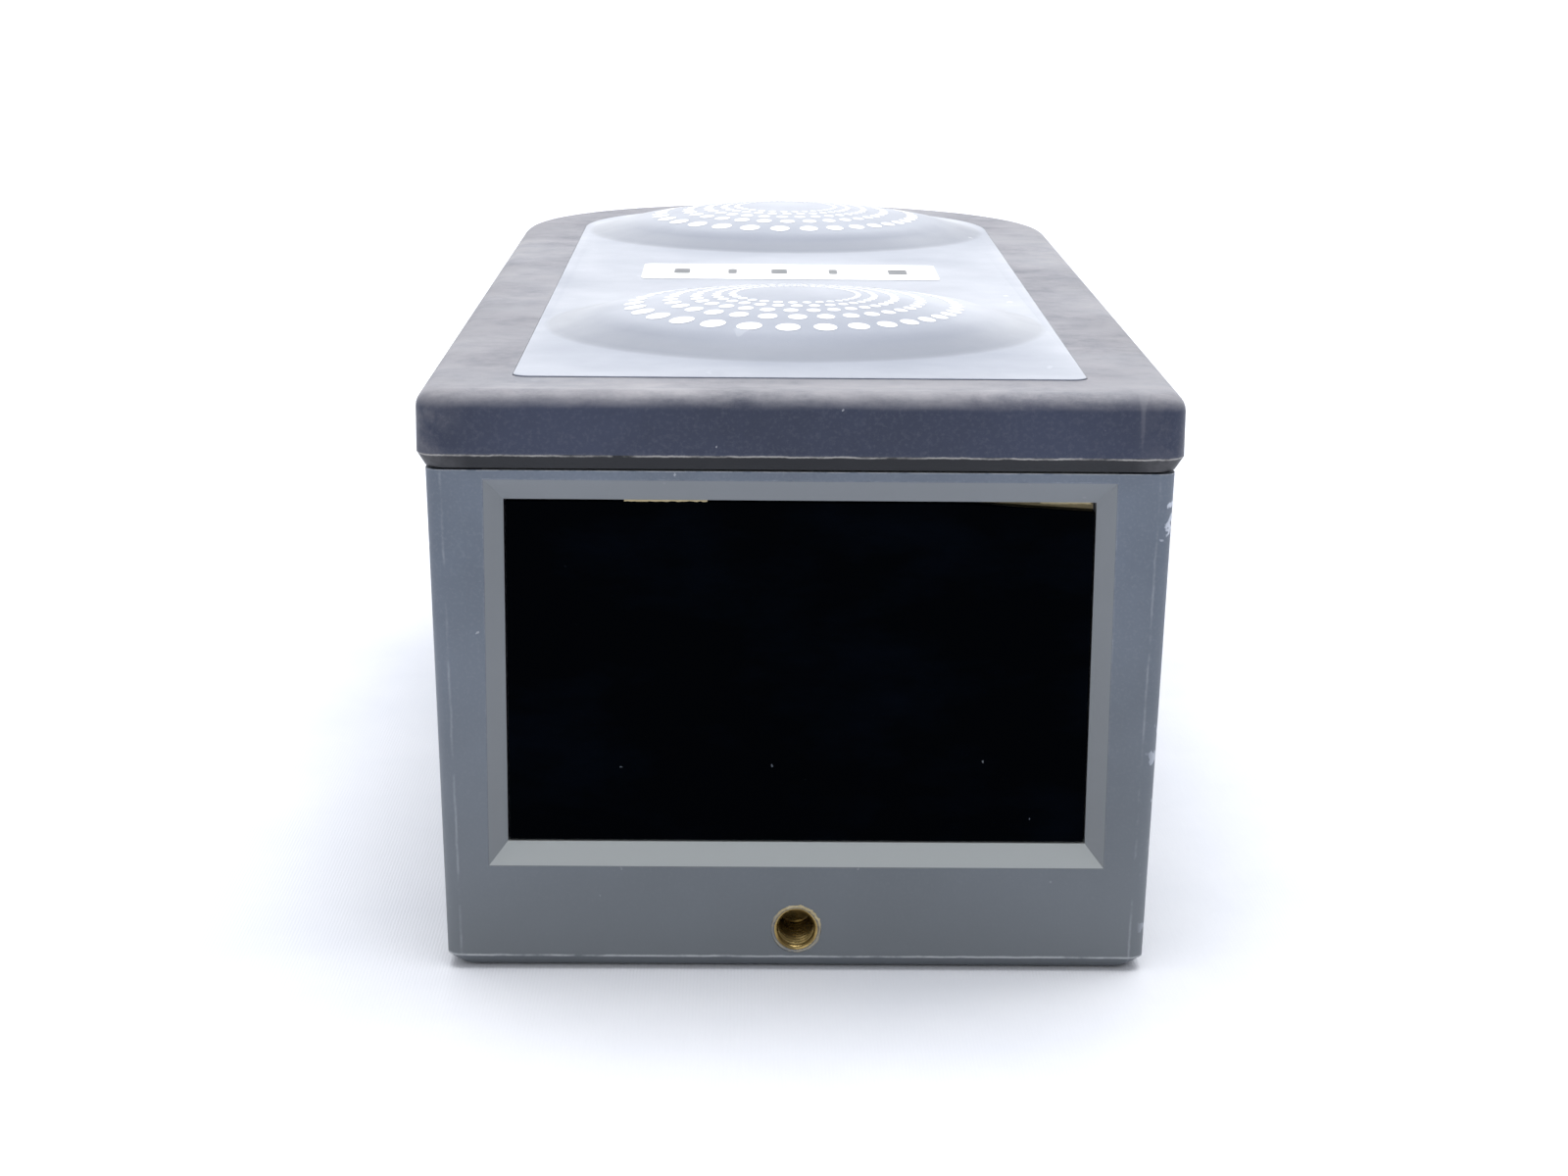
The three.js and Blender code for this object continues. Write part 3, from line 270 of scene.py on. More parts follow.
def splitPlace(tree):
    return addNode(tree, "ShaderNodeSeparateXYZ", {0: objectPlace(tree)}).outputs


def facingUp(tree):
    normal = addNode(tree, "ShaderNodeNewGeometry").outputs["Normal"]
    return addNode(tree, "ShaderNodeSeparateXYZ", {0: normal}).outputs[2]


def vectorMaths(tree, operation, a, b=None, output=0):
    inputs = {0: a}
    if b is not None:
        inputs["Scale" if operation == "SCALE" else 1] = b
    return addNode(tree, "ShaderNodeVectorMath", inputs, operation=operation).outputs[output]


def noise(tree, scale, detail=4.0, rough=0.6, stretch=(1, 1, 1)):
    sockets = {"Vector": objectPlace(tree, stretch), "Scale": scale, "Detail": detail,
               "Roughness": rough}
    return addNode(tree, "ShaderNodeTexNoise", sockets).outputs[0]


def newGroup(name, inputs, outputs):
    group = bpy.data.node_groups.new(name, "ShaderNodeTree")
    for label, value in inputs.items():
        socket = group.interface.new_socket(label, in_out="INPUT", socket_type="NodeSocketFloat")
        socket.default_value = value
    for label in outputs:
        group.interface.new_socket(label, in_out="OUTPUT", socket_type="NodeSocketFloat")
    start = group.nodes.new("NodeGroupInput").outputs
    end = group.nodes.new("NodeGroupOutput").inputs
    return group, start, end


def useGroup(tree, group, **values):
    node = addNode(tree, "ShaderNodeGroup", node_tree=group)
    for label, value in values.items():
        node.inputs[label].default_value = value
    return node.outputs


# rubbed edges: 1 on a corner, 0 on a flat, broken up by noise
def makeEdgeWear():
    inputs = {"Radius": 1 * mm, "Gain": 6.0, "Breakup": 260.0}
    group, start, end = newGroup("edgeWear", inputs, ["Wear"])
    rounded = addNode(group, "ShaderNodeBevel", {"Radius": start["Radius"]}, samples=4).outputs[0]
    flat = addNode(group, "ShaderNodeNewGeometry").outputs["Normal"]
    alike = addNode(group, "ShaderNodeVectorMath", {0: rounded, 1: flat}, operation="DOT_PRODUCT")
    bend = maths(group, "SUBTRACT", 1.0, alike.outputs["Value"])
    ragged = rescale(group, noise(group, start["Breakup"], 6.0, 0.7), 0.42, 0.66)
    strong = maths(group, "MULTIPLY", maths(group, "MULTIPLY", bend, start["Gain"]), ragged, True)
    group.links.new(strong, end["Wear"])
    return group


# moulded grain and broad cloudiness
def makeMouldGrain():
    inputs = {"Scale": 1400.0, "Cloud": 18.0}
    group, start, end = newGroup("mouldGrain", inputs, ["Height", "Clouds"])
    fine = noise(group, start["Scale"], 3.0, 0.6)
    broad = noise(group, start["Cloud"], 6.0, 0.62)
    group.links.new(fine, end["Height"])
    group.links.new(broad, end["Clouds"])
    return group


# dust that lies on what faces up, in patches
def makeDust():
    group, start, end = newGroup("dustFilm", {"Amount": 0.5, "Patch": 40.0}, ["Dust"])
    lying = rescale(group, facingUp(group), 0.15, 0.95)
    patches = rescale(group, noise(group, start["Patch"], 8.0, 0.68), 0.34, 0.68)
    total = maths(group, "MULTIPLY", product(group, lying, patches), start["Amount"], True)
    group.links.new(total, end["Dust"])
    return group


# small scattered specks, one in some cells of a Voronoi pattern
def makeSpecks():
    group, start, end = newGroup("specks", {"Scale": 120.0, "Size": 0.12, "Share": 0.2}, ["Mask"])
    ragged = addNode(group, "ShaderNodeTexNoise",
                     {"Vector": objectPlace(group), "Scale": 900.0, "Detail": 3.0}).outputs["Color"]
    shift = vectorMaths(group, "SCALE", ragged, 1.6 * mm)
    place = vectorMaths(group, "ADD", objectPlace(group), shift)
    cells = addNode(group, "ShaderNodeTexVoronoi", {"Vector": place, "Scale": start["Scale"]})
    near = maths(group, "LESS_THAN", cells.outputs["Distance"], start["Size"])
    pick = addNode(group, "ShaderNodeSeparateColor", {0: cells.outputs["Color"]}).outputs[0]
    chosen = maths(group, "LESS_THAN", pick, start["Share"])
    group.links.new(product(group, near, chosen), end["Mask"])
    return group


# fine straight rubs in one direction
def makeScuffs():
    group, start, end = newGroup("scuffs", {"Scale": 60.0, "Level": 0.7}, ["Mask"])
    along = noise(group, start["Scale"], 2.0, 0.5, (0.12, 1.0, 2.6))
    across = noise(group, start["Scale"], 2.0, 0.5, (2.2, 1.0, 0.16))
    most = maths(group, "MAXIMUM", along, across)
    high = maths(group, "ADD", start["Level"], 0.03)
    group.links.new(rescale(group, most, start["Level"], high), end["Mask"])
    return group


groups = {"edge": makeEdgeWear(), "grain": makeMouldGrain(), "dust": makeDust(),
          "specks": makeSpecks(), "scuffs": makeScuffs()}


def startMaterial(name):
    material = bpy.data.materials.new(name)
    material.use_nodes = True
    tree = material.node_tree
    tree.nodes.clear()
    shader = addNode(tree, "ShaderNodeBsdfPrincipled")
    out = addNode(tree, "ShaderNodeOutputMaterial")
    tree.links.new(shader.outputs[0], out.inputs[0])
    return material, tree, shader


# what a finish has unless its look says otherwise
plainLook = {
    "grain": 1400.0, "cloud": 18.0, "scuffScale": 60.0, "scuffs": 0.74, "scuffAmount": 0.35,
    "mottle": 0.1, "wearRadius": 0.8 * mm, "wear": 3.0, "dust": 0.3, "patch": 40.0,
    "dustColour": "9a9a9c", "speckScale": 140.0, "speckSize": 0.1, "speckShare": 0.05,
    "speckColour": "c9ccd2", "metal": 0.0, "specular": 0.5, "glass": 0.0, "index": 1.49,
    "depth": 0.15 * mm,
}


def tint(tree, colour, code, *masks):
    return paint(tree, product(tree, *masks), colour, hexColour(code))


# the usual finish: two shades, grain, worn edges, dust, specks and scuffs
def finish(name, given):
    look = plainLook | given
    material, tree, shader = startMaterial(name)
    grain = useGroup(tree, groups["grain"], Scale=look["grain"], Cloud=look["cloud"])
    clouds = rescale(tree, grain["Clouds"], 0.35, 0.65)
    colour = paint(tree, clouds, hexColour(look["colour"]), hexColour(look["shade"]))
    scuffs = useGroup(tree, groups["scuffs"], Scale=look["scuffScale"], Level=look["scuffs"])
    colour = tint(tree, colour, look["worn"], scuffs["Mask"], look["scuffAmount"])
    mottle = rescale(tree, grain["Height"], 0.5, 0.75)
    colour = tint(tree, colour, look["worn"], mottle, look["mottle"])
    wear = useGroup(tree, groups["edge"], Radius=look["wearRadius"], Gain=look["wear"])
    colour = tint(tree, colour, look["worn"], wear["Wear"])
    dust = useGroup(tree, groups["dust"], Amount=look["dust"], Patch=look["patch"])
    colour = tint(tree, colour, look["dustColour"], dust["Dust"])
    chips = useGroup(tree, groups["specks"], Scale=look["speckScale"], Size=look["speckSize"],
                     Share=look["speckShare"])
    colour = tint(tree, colour, look["speckColour"], chips["Mask"])
    if "extra" in look:
        colour = look["extra"](tree, colour)
    rough = rescale(tree, grain["Clouds"], 0.3, 0.7, look["rough"] - 0.07, look["rough"] + 0.09)
    height = maths(tree, "ADD", grain["Height"], product(tree, chips["Mask"], 0.8))
    bump = addNode(tree, "ShaderNodeBump",
                   {"Height": height, "Strength": look["bump"], "Distance": look["depth"]})
    values = {"Base Color": colour, "Roughness": rough, "Metallic": look["metal"],
              "Specular IOR Level": look["specular"], "Normal": bump.outputs[0]}
    if look["glass"]:
        values |= {"Transmission Weight": look["glass"], "IOR": look["index"]}
    setInputs(shader, values)
    return material


# a thin line where two values are equal, ragged and broken
def raggedLine(tree, value, at, half, wander, patches, gaps, wanderScale=180.0):
    shift = product(tree, maths(tree, "SUBTRACT", noise(tree, wanderScale, 4.0, 0.7), 0.5), wander)
    away = maths(tree, "ABSOLUTE", maths(tree, "SUBTRACT", maths(tree, "ADD", value, shift), at))
    broken = rescale(tree, noise(tree, patches, 5.0, 0.7), *gaps)
    return product(tree, rescale(tree, away, half, 0.0), broken)


# marks on the case: painted light on the window's bevelled frame, rubbed lines, and chips on its
# right-hand edge
caseMarks = {
    "height": (95 * mm, 5 * mm), "low": ("666b6f", 0.85),
    "frontUpTo": -186 * mm, "behind": 0.12 * mm, "frameHalf": 68.3 * mm, "frameFrom": 24 * mm,
    # painted light: the frame's colour is painted paler, and the sill's is a painted highlight
    "frame": ("7b7f83", 0.85), "sillTilt": (0.2, 0.45), "sillHighlight": ("a4a9aa", 1.0),
    "footLine": 3.3 * mm, "foot": ("b9bcc0", 0.8), "cornerLine": 79.1 * mm,
    "corner": ("a3a8ae", 0.4), "chipEdge": (76 * mm, 79.5 * mm), "chipScale": 85.0,
    "chipLevel": (0.595, 0.612), "chip": ("c3c9d6", 0.85),
}


def housingExtra(tree, colour):
    marks = caseMarks
    place = splitPlace(tree)
    colour = tint(tree, colour, *marks["low"], rescale(tree, place[2], *marks["height"]))
    leaning = product(tree, place[2], math.tan(draft))
    out = maths(tree, "ABSOLUTE", place[0])
    front = maths(tree, "LESS_THAN", place[1], marks["frontUpTo"])
    # painted light: the window's bevelled frame is painted paler than the front face
    faceY = maths(tree, "SUBTRACT", plan["frontY"] + bodyInset(0), leaning)
    behind = maths(tree, "GREATER_THAN", maths(tree, "SUBTRACT", place[1], faceY), marks["behind"])
    within = maths(tree, "LESS_THAN", out, marks["frameHalf"])
    above = maths(tree, "GREATER_THAN", place[2], marks["frameFrom"])
    frameLightMask = product(tree, behind, front, within, above, marks["frame"][1])
    colour = tint(tree, colour, marks["frame"][0], frameLightMask)
    # painted highlight: the frame's upward-facing sill is painted lighter still
    sillHighlight = rescale(tree, facingUp(tree), *marks["sillTilt"])
    colour = tint(tree, colour, *marks["sillHighlight"], frameLightMask, sillHighlight)
    foot = raggedLine(tree, place[2], marks["footLine"], 0.4 * mm, 0.7 * mm, 55.0, (0.36, 0.52))
    colour = tint(tree, colour, *marks["foot"], foot)
    corner = maths(tree, "ADD", marks["cornerLine"] - bodyInset(0), leaning)
    rub = raggedLine(tree, out, corner, 0.4 * mm, 0.8 * mm, 70.0, (0.44, 0.62), 150.0)
    colour = tint(tree, colour, *marks["corner"], rub, front)
    edge = rescale(tree, place[0], *marks["chipEdge"])
    chipped = rescale(tree, noise(tree, marks["chipScale"], 4.0, 0.6), *marks["chipLevel"])
    return tint(tree, colour, *marks["chip"], edge, chipped, front)


# marks on the lid: painted shade under its bevel, smudges and painted sheen on top, dusty along the
# front edge
lidMarks = {
    # painted shade: what faces down under the bevel is tinted near-black
    "underShadeTilt": (-0.15, -0.4), "under": ("060a14", 1.0),
    # the top rim is tinted lighter: partly smudges, partly painted sheen
    "rim": (127.6 * mm, 130.6 * mm), "smudge": (0.14, 0.95), "smudgeAndSheen": ("77767e", 1.0),
    "ahead": (-186 * mm, -199 * mm), "band": (127.2 * mm, 130.2 * mm), "dusty": ("9a999e", 0.6),
    "side": (71 * mm, 81 * mm), "rubbed": ("7d7c80", 0.5),
    "crease": 117.3 * mm, "creased": ("b4b2b0", 0.8),
}


def lidExtra(tree, colour):
    marks = lidMarks
    place = splitPlace(tree)
    # painted shade on what faces down
    under = rescale(tree, facingUp(tree), *marks["underShadeTilt"])
    colour = tint(tree, colour, *marks["under"], under)
    # the top rim is painted lighter, partly smudges and partly painted sheen where the fillet faces
    # the light
    rim = rescale(tree, place[2], *marks["rim"])
    smudge = rescale(tree, noise(tree, 46.0, 9.0, 0.74), 0.38, 0.6)
    smudge = rescale(tree, smudge, 0, 1, *marks["smudge"])
    colour = tint(tree, colour, *marks["smudgeAndSheen"], rim, smudge)
    ahead = rescale(tree, place[1], *marks["ahead"])
    band = rescale(tree, place[2], *marks["band"])
    streaks = rescale(tree, noise(tree, 75.0, 8.0, 0.75, (0.35, 1.0, 1.0)), 0.4, 0.62)
    colour = tint(tree, colour, *marks["dusty"], ahead, band, streaks)
    side = rescale(tree, maths(tree, "ABSOLUTE", place[0]), *marks["side"])
    worn = rescale(tree, noise(tree, 60.0, 8.0, 0.7), 0.4, 0.62)
    colour = tint(tree, colour, *marks["rubbed"], side, worn)
    line = raggedLine(tree, place[2], marks["crease"], 0.3 * mm, 0.9 * mm, 60.0, (0.36, 0.52))
    return tint(tree, colour, *marks["creased"], line)


# how far a point stands from an upright or level line through a place
def awayFrom(tree, place, across):
    shift = vectorMaths(tree, "SUBTRACT", objectPlace(tree), place)
    return vectorMaths(tree, "LENGTH", vectorMaths(tree, "MULTIPLY", shift, across), output="Value")


# painted shade round the foot of each dome, darkening its skirt
skirtShade = {"inner": (43 * mm, 55 * mm), "outer": (61.6 * mm, 60 * mm), "tint": ("565c69", 0.55)}


def panelExtra(tree, colour):
    # painted shade on each dome's skirt
    for y in domeCentres:
        away = awayFrom(tree, (0, y, panelTop), (1, 1, 0))
        inner = rescale(tree, away, *skirtShade["inner"])
        outer = rescale(tree, away, *skirtShade["outer"])
        colour = tint(tree, colour, *skirtShade["tint"], inner, outer)
    return colour


# the insert: dull on its face, with painted shade in the bottoms of the thread, its film greyed
# below
insertMarks = {
    "frontUpTo": -180 * mm, "face": 4.82 * mm, "dull": ("6b6d70", 0.9), "inside": 5 * mm,
    # painted shade: the roots of the thread inside the bore are tinted near-black
    "groove": (4.1 * mm, 4.45 * mm), "dark": ("1d150a", 0.9), "greyWidth": 6 * mm,
    "greyRise": 3 * mm, "greyed": (15 * mm, 11.5 * mm), "grey": ("74777a", 1.0),
}


def brassExtra(tree, colour):
    marks = insertMarks
    y = splitPlace(tree)[1]
    away = awayFrom(tree, (0, 0, insertZ), (1, 0, 1))
    front = maths(tree, "LESS_THAN", y, marks["frontUpTo"])
    face = maths(tree, "GREATER_THAN", away, marks["face"])
    colour = tint(tree, colour, *marks["dull"], face, front)
    inside = maths(tree, "GREATER_THAN", y, plan["frontY"] + marks["inside"])
    # painted shade in the roots of the thread
    groove = rescale(tree, away, *marks["groove"])
    return tint(tree, colour, *marks["dark"], groove, inside, front)


# the film round the insert has greyed, except where it stands thick at the top
def adhesiveExtra(tree, colour):
    marks = insertMarks
    place = splitPlace(tree)
    beside = rescale(tree, place[0], -marks["greyWidth"], marks["greyWidth"])
    height = maths(tree, "ADD", place[2], product(tree, beside, marks["greyRise"]))
    grey = rescale(tree, height, *marks["greyed"])
    patchy = rescale(tree, noise(tree, 700.0, 3.0), 0.4, 0.6, 0.65, 1.0)
    return tint(tree, colour, *marks["grey"], grey, patchy)


def aLook(colours, rough, bump, **others):
    colour, shade, worn = colours.split()
    return {"colour": colour, "shade": shade, "worn": worn, "rough": rough, "bump": bump} | others


# colour, shaded colour and worn colour, roughness, bump, and what else differs
looks = {
    "housing": aLook("616b7a 565f6c a6a9ae", 0.5, 0.14, grain=1500.0, wear=7.0,
                     wearRadius=0.5 * mm, dust=0.35, dustColour="8f9294", scuffs=0.735,
                     speckShare=0.035, speckScale=420.0, speckSize=0.12, speckColour="959aa2",
                     extra=housingExtra),
    "lid": aLook("28314a 20283e 7b7c84", 0.52, 0.16, grain=1300.0, wear=5.0, wearRadius=1.0 * mm,
                 dust=0.75, dustColour="84858c", patch=26.0, scuffs=0.7, speckShare=0.05,
                 speckScale=520.0, speckSize=0.13, speckColour="83868f", mottle=0.12,
                 extra=lidExtra),
    "panel": aLook("7d8494 747b8b a6abb6", 0.33, 0.05, grain=2600.0, wear=2.0, dust=0.2,
                   dustColour="8d929e", scuffs=0.75, speckShare=0.03, cloud=12.0, metal=0.1,
                   extra=panelExtra),
    "white_print": aLook("f4f5f8 e9ebf0 d2d5dc", 0.45, 0.04, wear=0.5, dust=0.1, scuffs=0.78,
                         speckShare=0.02, speckColour="b5b8be"),
    "adhesive": aLook("c4b58d a39470 d8ceb0", 0.7, 0.5, depth=0.3 * mm, grain=900.0,
                      extra=adhesiveExtra),
    "rubber": aLook("232426 1a1b1c 46474a", 0.82, 0.25),
    "brass": aLook("c4ac72 9f8550 e3d3a4", 0.28, 0.06, metal=1.0, cloud=220.0, grain=2400.0,
                   dust=0.1, extra=brassExtra),
    "steel": aLook("a9adb1 8f9498 cdd0d3", 0.34, 0.08, metal=1.0, cloud=160.0),
    "aluminium": aLook("b3b8bc 9fa4a9 d5d8da", 0.4, 0.06, metal=1.0, cloud=60.0),
    "black_metal": aLook("222427 1a1b1e 74777c", 0.46, 0.16, metal=0.5, wear=5.0),
    "black_plastic": aLook("1a1b1d 141517 4a4c50", 0.48, 0.18),
    "grey_plastic": aLook("5d6165 53575b 85898d", 0.55, 0.14),
    "circuit": aLook("1e5c39 174c2f 4f8f68", 0.42, 0.1, cloud=240.0, speckScale=300.0,
                     speckShare=0.25, speckColour="b9b08a"),
    "lens": aLook("b9c8dc a7b8d2 d4deea", 0.08, 0.01, glass=0.9, dust=0.02),
    "clear_plastic": aLook("dde2e6 ced4da eef1f3", 0.14, 0.02, glass=0.8, dust=0.05),
    "cell": aLook("2f5280 274670 6d8cb4", 0.38, 0.05),
    "webbing": aLook("2b2c2e 212224 4b4c4e", 0.9, 0.5, depth=0.4 * mm, grain=1100.0),
    "cable": aLook("8f9195 7f8185 a9abae", 0.6, 0.1),
}
finishes = {name: finish(name, look) for name, look in looks.items()}


# the window: near-black filter glass with dust, faint smears and a few pale fibres
glassLook = {
    "body": "000103", "smear": ("2c4466", 0.02), "fine": ("8d96a2", 0.3),
    "fineDust": {"Scale": 420.0, "Size": 0.1, "Share": 0.012}, "coarse": ("a9b0b8", 0.3),
    "coarseDust": {"Scale": 240.0, "Size": 0.06, "Share": 0.014}, "fibre": ("9aa2ac", 0.22),
    "fibres": {"Scale": 150.0, "Level": 0.8}, "rough": (0.05, 0.16), "specular": 0.008,
    "index": 1.5,
}


def darkGlass(name):
    look = glassLook
    material, tree, shader = startMaterial(name)
    smears = rescale(tree, noise(tree, 26.0, 5.0, 0.6, (1.0, 1.0, 2.2)), 0.48, 0.75)
    colour = tint(tree, hexColour(look["body"]), *look["smear"], smears)
    for group, values, mark in (("specks", "fineDust", "fine"), ("specks", "coarseDust", "coarse"),
                                ("scuffs", "fibres", "fibre")):
        mask = useGroup(tree, groups[group], **look[values])["Mask"]
        colour = tint(tree, colour, *look[mark], mask)
    ripple = addNode(tree, "ShaderNodeBump", {"Height": noise(tree, 14.0, 2.0), "Strength": 0.02,
                                              "Distance": 0.4 * mm})
    rough = rescale(tree, smears, 0, 1, *look["rough"])
    setInputs(shader, {"Base Color": colour, "Roughness": rough, "IOR": look["index"],
                       "Specular IOR Level": look["specular"], "Normal": ripple.outputs[0]})
    return material


finishes["dark_glass"] = darkGlass("dark_glass")
print("finishes made:", len(finishes))

case = {
    "bottom": 0.6 * mm, "chamfer": 2.6 * mm, "corner": 3.4 * mm, "shoulder": shoulderZ,
    "tongueInset": 4.7 * mm, "tongueTop": 125.1 * mm, "cavityInset": 7.3 * mm,
    "floorTop": 4.6 * mm, "floorWall": 3.5 * mm, "frontWall": 15.72 * mm, "ledge": 0.3 * mm,
    "edge": 0.3 * mm,
}
window = {
    "halfX": 64 * mm, "low": 29.2 * mm, "high": 106.9 * mm, "bevelX": 4.2 * mm, "bevelZ": 5 * mm,
    "bevelDeep": 3 * mm, "seat": 7.4 * mm, "ledge": 4 * mm, "glass": 3 * mm, "clearance": 0.4 * mm,
    "drop": 1.6 * mm, "dropFrom": 0.54,
}
onto = Matrix.Translation((0, plan["frontY"] + bodyInset(0), 0)) @ Matrix.Rotation(draft, 4, "X")
inwards = onto.to_3x3() @ Vector((0, 1, 0))
insertLay = onto @ Matrix.Translation((0, 0, insertZ)) @ Matrix.Rotation(-math.pi / 2, 4, "X")
windowMiddle = (window["low"] + window["high"]) / 2
# pockets for the feet, the insert's boss, the lid screws' bosses and the seat of the rear plate
feet = {"places": ((-58, -174), (58, -174), (-52, 125.5), (52, 125.5)), "radius": 9 * mm,
        "top": 2.2 * mm}
insertBoss = {"half": 9 * mm, "from": -190 * mm, "to": -176.7 * mm, "low": 2 * mm,
              "high": 18.8 * mm, "corner": 2 * mm, "bore": 5.6 * mm, "deep": 17.8 * mm}
lidBoss = {"outer": 76.8 * mm, "inner": 66.8 * mm, "half": 4.5 * mm, "low": 101.8 * mm,
           "high": 124.6 * mm}
rear = {"z": 46 * mm, "seatY": 186.97 * mm, "width": 68 * mm, "height": 48 * mm, "corner": 4 * mm,
        "openWidth": 54 * mm, "openHeight": 34 * mm, "openCorner": 3 * mm, "screwX": 30.5 * mm,
        "screwZ": 20.5 * mm, "pilot": 1.6 * mm, "pilotDeep": 3.4 * mm, "blockX": 39 * mm,
        "blockZ": 29 * mm, "blockFrom": 183 * mm, "wall": 1 * mm}
past = 1 * mm  # how far a cutting tool reaches past what it cuts
lidScrews = {"ys": (-162 * mm, -32 * mm, 97.5 * mm), "z": 121.75 * mm,
             "length": 12 * mm, "bore": 2 * mm, "sink": 4.6 * mm,
             "holeFrom": 76.3 * mm, "holeTo": 84 * mm, "sinkFrom": 80.5 * mm, "sinkTo": 83.5 * mm}
screwPlaces = [(side, y) for side in sides for y in lidScrews["ys"]]


def shrinkFace(bm, face, wide, tall):
    space = (onto @ Matrix.Translation((0, 0, windowMiddle))).inverted()
    bmesh.ops.scale(bm, vec=(wide, 1, tall), space=space, verts=face.verts[:])


def cutWindow(bm):
    front = facing(bm, -inwards, onto @ Vector((0, 0, windowMiddle)))
    outerX = window["halfX"] + window["bevelX"]
    face = carveRectangle(bm, front, onto, outerX, window["low"] - window["bevelZ"],
                          window["high"] + window["bevelZ"])
    height = window["high"] - window["low"]
    face = pullFace(bm, face)
    bmesh.ops.translate(bm, vec=inwards * window["bevelDeep"], verts=face.verts[:])
    shrinkFace(bm, face, window["halfX"] / outerX, height / (height + 2 * window["bevelZ"]))
    face = pullFace(bm, face)
    deeper = inwards * (window["seat"] - window["bevelDeep"])
    bmesh.ops.translate(bm, vec=deeper, verts=face.verts[:])
    face = pullFace(bm, face)
    shrinkFace(bm, face, 1 - window["ledge"] / window["halfX"], 1 - 2 * window["ledge"] / height)
    ledgeEdges = face.edges[:]
    flat = Matrix.Translation((0, plan["frontY"] + case["frontWall"], 0))
    inner = facing(bm, Vector((0, 1, 0)), flat @ Vector((0, 0, windowMiddle)))
    hole = carveRectangle(bm, inner, flat, window["halfX"] - window["ledge"],
                          window["low"] + window["ledge"], window["high"] - window["ledge"])
    edges = ledgeEdges + hole.edges[:]
    bmesh.ops.delete(bm, geom=[face, hole], context="FACES_ONLY")
    bmesh.ops.bridge_loops(bm, edges=edges)


def makeCase():
    bm = bmesh.new()
    bottom = case["bottom"]
    face, level = startOutline(bm, bodyInset(bottom) + case["chamfer"], case["corner"], bottom)
    face = nextLevel(bm, face, level, bottom + case["chamfer"], bodyInset(bottom + case["chamfer"]))
    face = nextLevel(bm, face, level, case["shoulder"], bodyInset(case["shoulder"]))
    face = nextLevel(bm, face, level, case["shoulder"], case["tongueInset"])
    face = nextLevel(bm, face, level, case["tongueTop"], case["tongueInset"])
    face = nextLevel(bm, face, level, case["tongueTop"], case["cavityInset"])
    face = nextLevel(bm, face, level, case["shoulder"], case["cavityInset"])
    face = nextLevel(bm, face, level, case["shoulder"], case["cavityInset"] + case["ledge"],
                     case["frontWall"])
    inset = bodyInset(case["floorTop"]) + case["floorWall"]
    nextLevel(bm, face, level, case["floorTop"], inset, case["frontWall"])
    tidyNormals(bm)
    cutWindow(bm)
    tidyNormals(bm)
    return makeObject("bodyCase", bm)


def rearBlock():
    bm = bmesh.new()
    z = rear["z"]
    addBox(bm, (-rear["blockX"], rear["blockFrom"], z - rear["blockZ"]),
           (rear["blockX"], 205 * mm, z + rear["blockZ"]))
    block = makeObject("rearBlock", bm)
    bm = bmesh.new()
    face, level = startOutline(bm, bodyInset(0) + rear["wall"], case["corner"], 0)
    nextLevel(bm, face, level, case["shoulder"], bodyInset(case["shoulder"]) + rear["wall"])
    tidyNormals(bm)
    combine(block, bm, "INTERSECT")
    bm = bmesh.new()
    bm.from_mesh(block.data)
    bpy.data.objects.remove(block)
    return bm


def cutCase(obj):
    combine(obj, rearBlock(), "UNION")
    bm = bmesh.new()
    boss = insertBoss
    addBox(bm, (-boss["half"], boss["from"], boss["low"]), (boss["half"], boss["to"], boss["high"]),
           boss["corner"])
    for side, y in screwPlaces:
        low, high = sorted((side * lidBoss["outer"], side * lidBoss["inner"]))
        addBox(bm, (low, y - lidBoss["half"], lidBoss["low"]),
               (high, y + lidBoss["half"], lidBoss["high"]))
    combine(obj, bm, "UNION")
    bm = bmesh.new()
    for x, y in feet["places"]:
        addRod(bm, "z", feet["radius"], -past, feet["top"], (x * mm, y * mm, 0), 48)
    bore, deep = boss["bore"], boss["deep"]
    addTurned(bm, [(0, -past), (bore, -past), (bore, deep), (0, deep)], insertLay, 48)
    z = rear["z"]
    addBox(bm, (-rear["width"] / 2, rear["seatY"], z - rear["height"] / 2),
           (rear["width"] / 2, 206 * mm, z + rear["height"] / 2), rear["corner"])
    start = plan["lidWidth"] / 2 - lidScrews["length"] - 1.5 * mm
    for side, y in screwPlaces:
        low, high = sorted((side * start, side * lidScrews["holeTo"]))
        addRod(bm, "x", lidScrews["bore"], low, high, (0, y, lidScrews["z"]), 24)
    combine(obj, bm, "DIFFERENCE")
    bm = bmesh.new()
    addBox(bm, (-rear["openWidth"] / 2, 180 * mm, z - rear["openHeight"] / 2),
           (rear["openWidth"] / 2, 190 * mm, z + rear["openHeight"] / 2), rear["openCorner"])
    for sx in sides:
        for sz in sides:
            addRod(bm, "y", rear["pilot"], rear["seatY"] - rear["pilotDeep"],
                   rear["seatY"] + 2 * past, (sx * rear["screwX"], 0, z + sz * rear["screwZ"]), 20)
    combine(obj, bm, "DIFFERENCE")


bodyCase = makeCase()
cutCase(bodyCase)
roundEdges(bodyCase, case["edge"])
settle(bodyCase, "housing", "housing", ["body_shell"])
print("case made:", len(bodyCase.data.polygons))

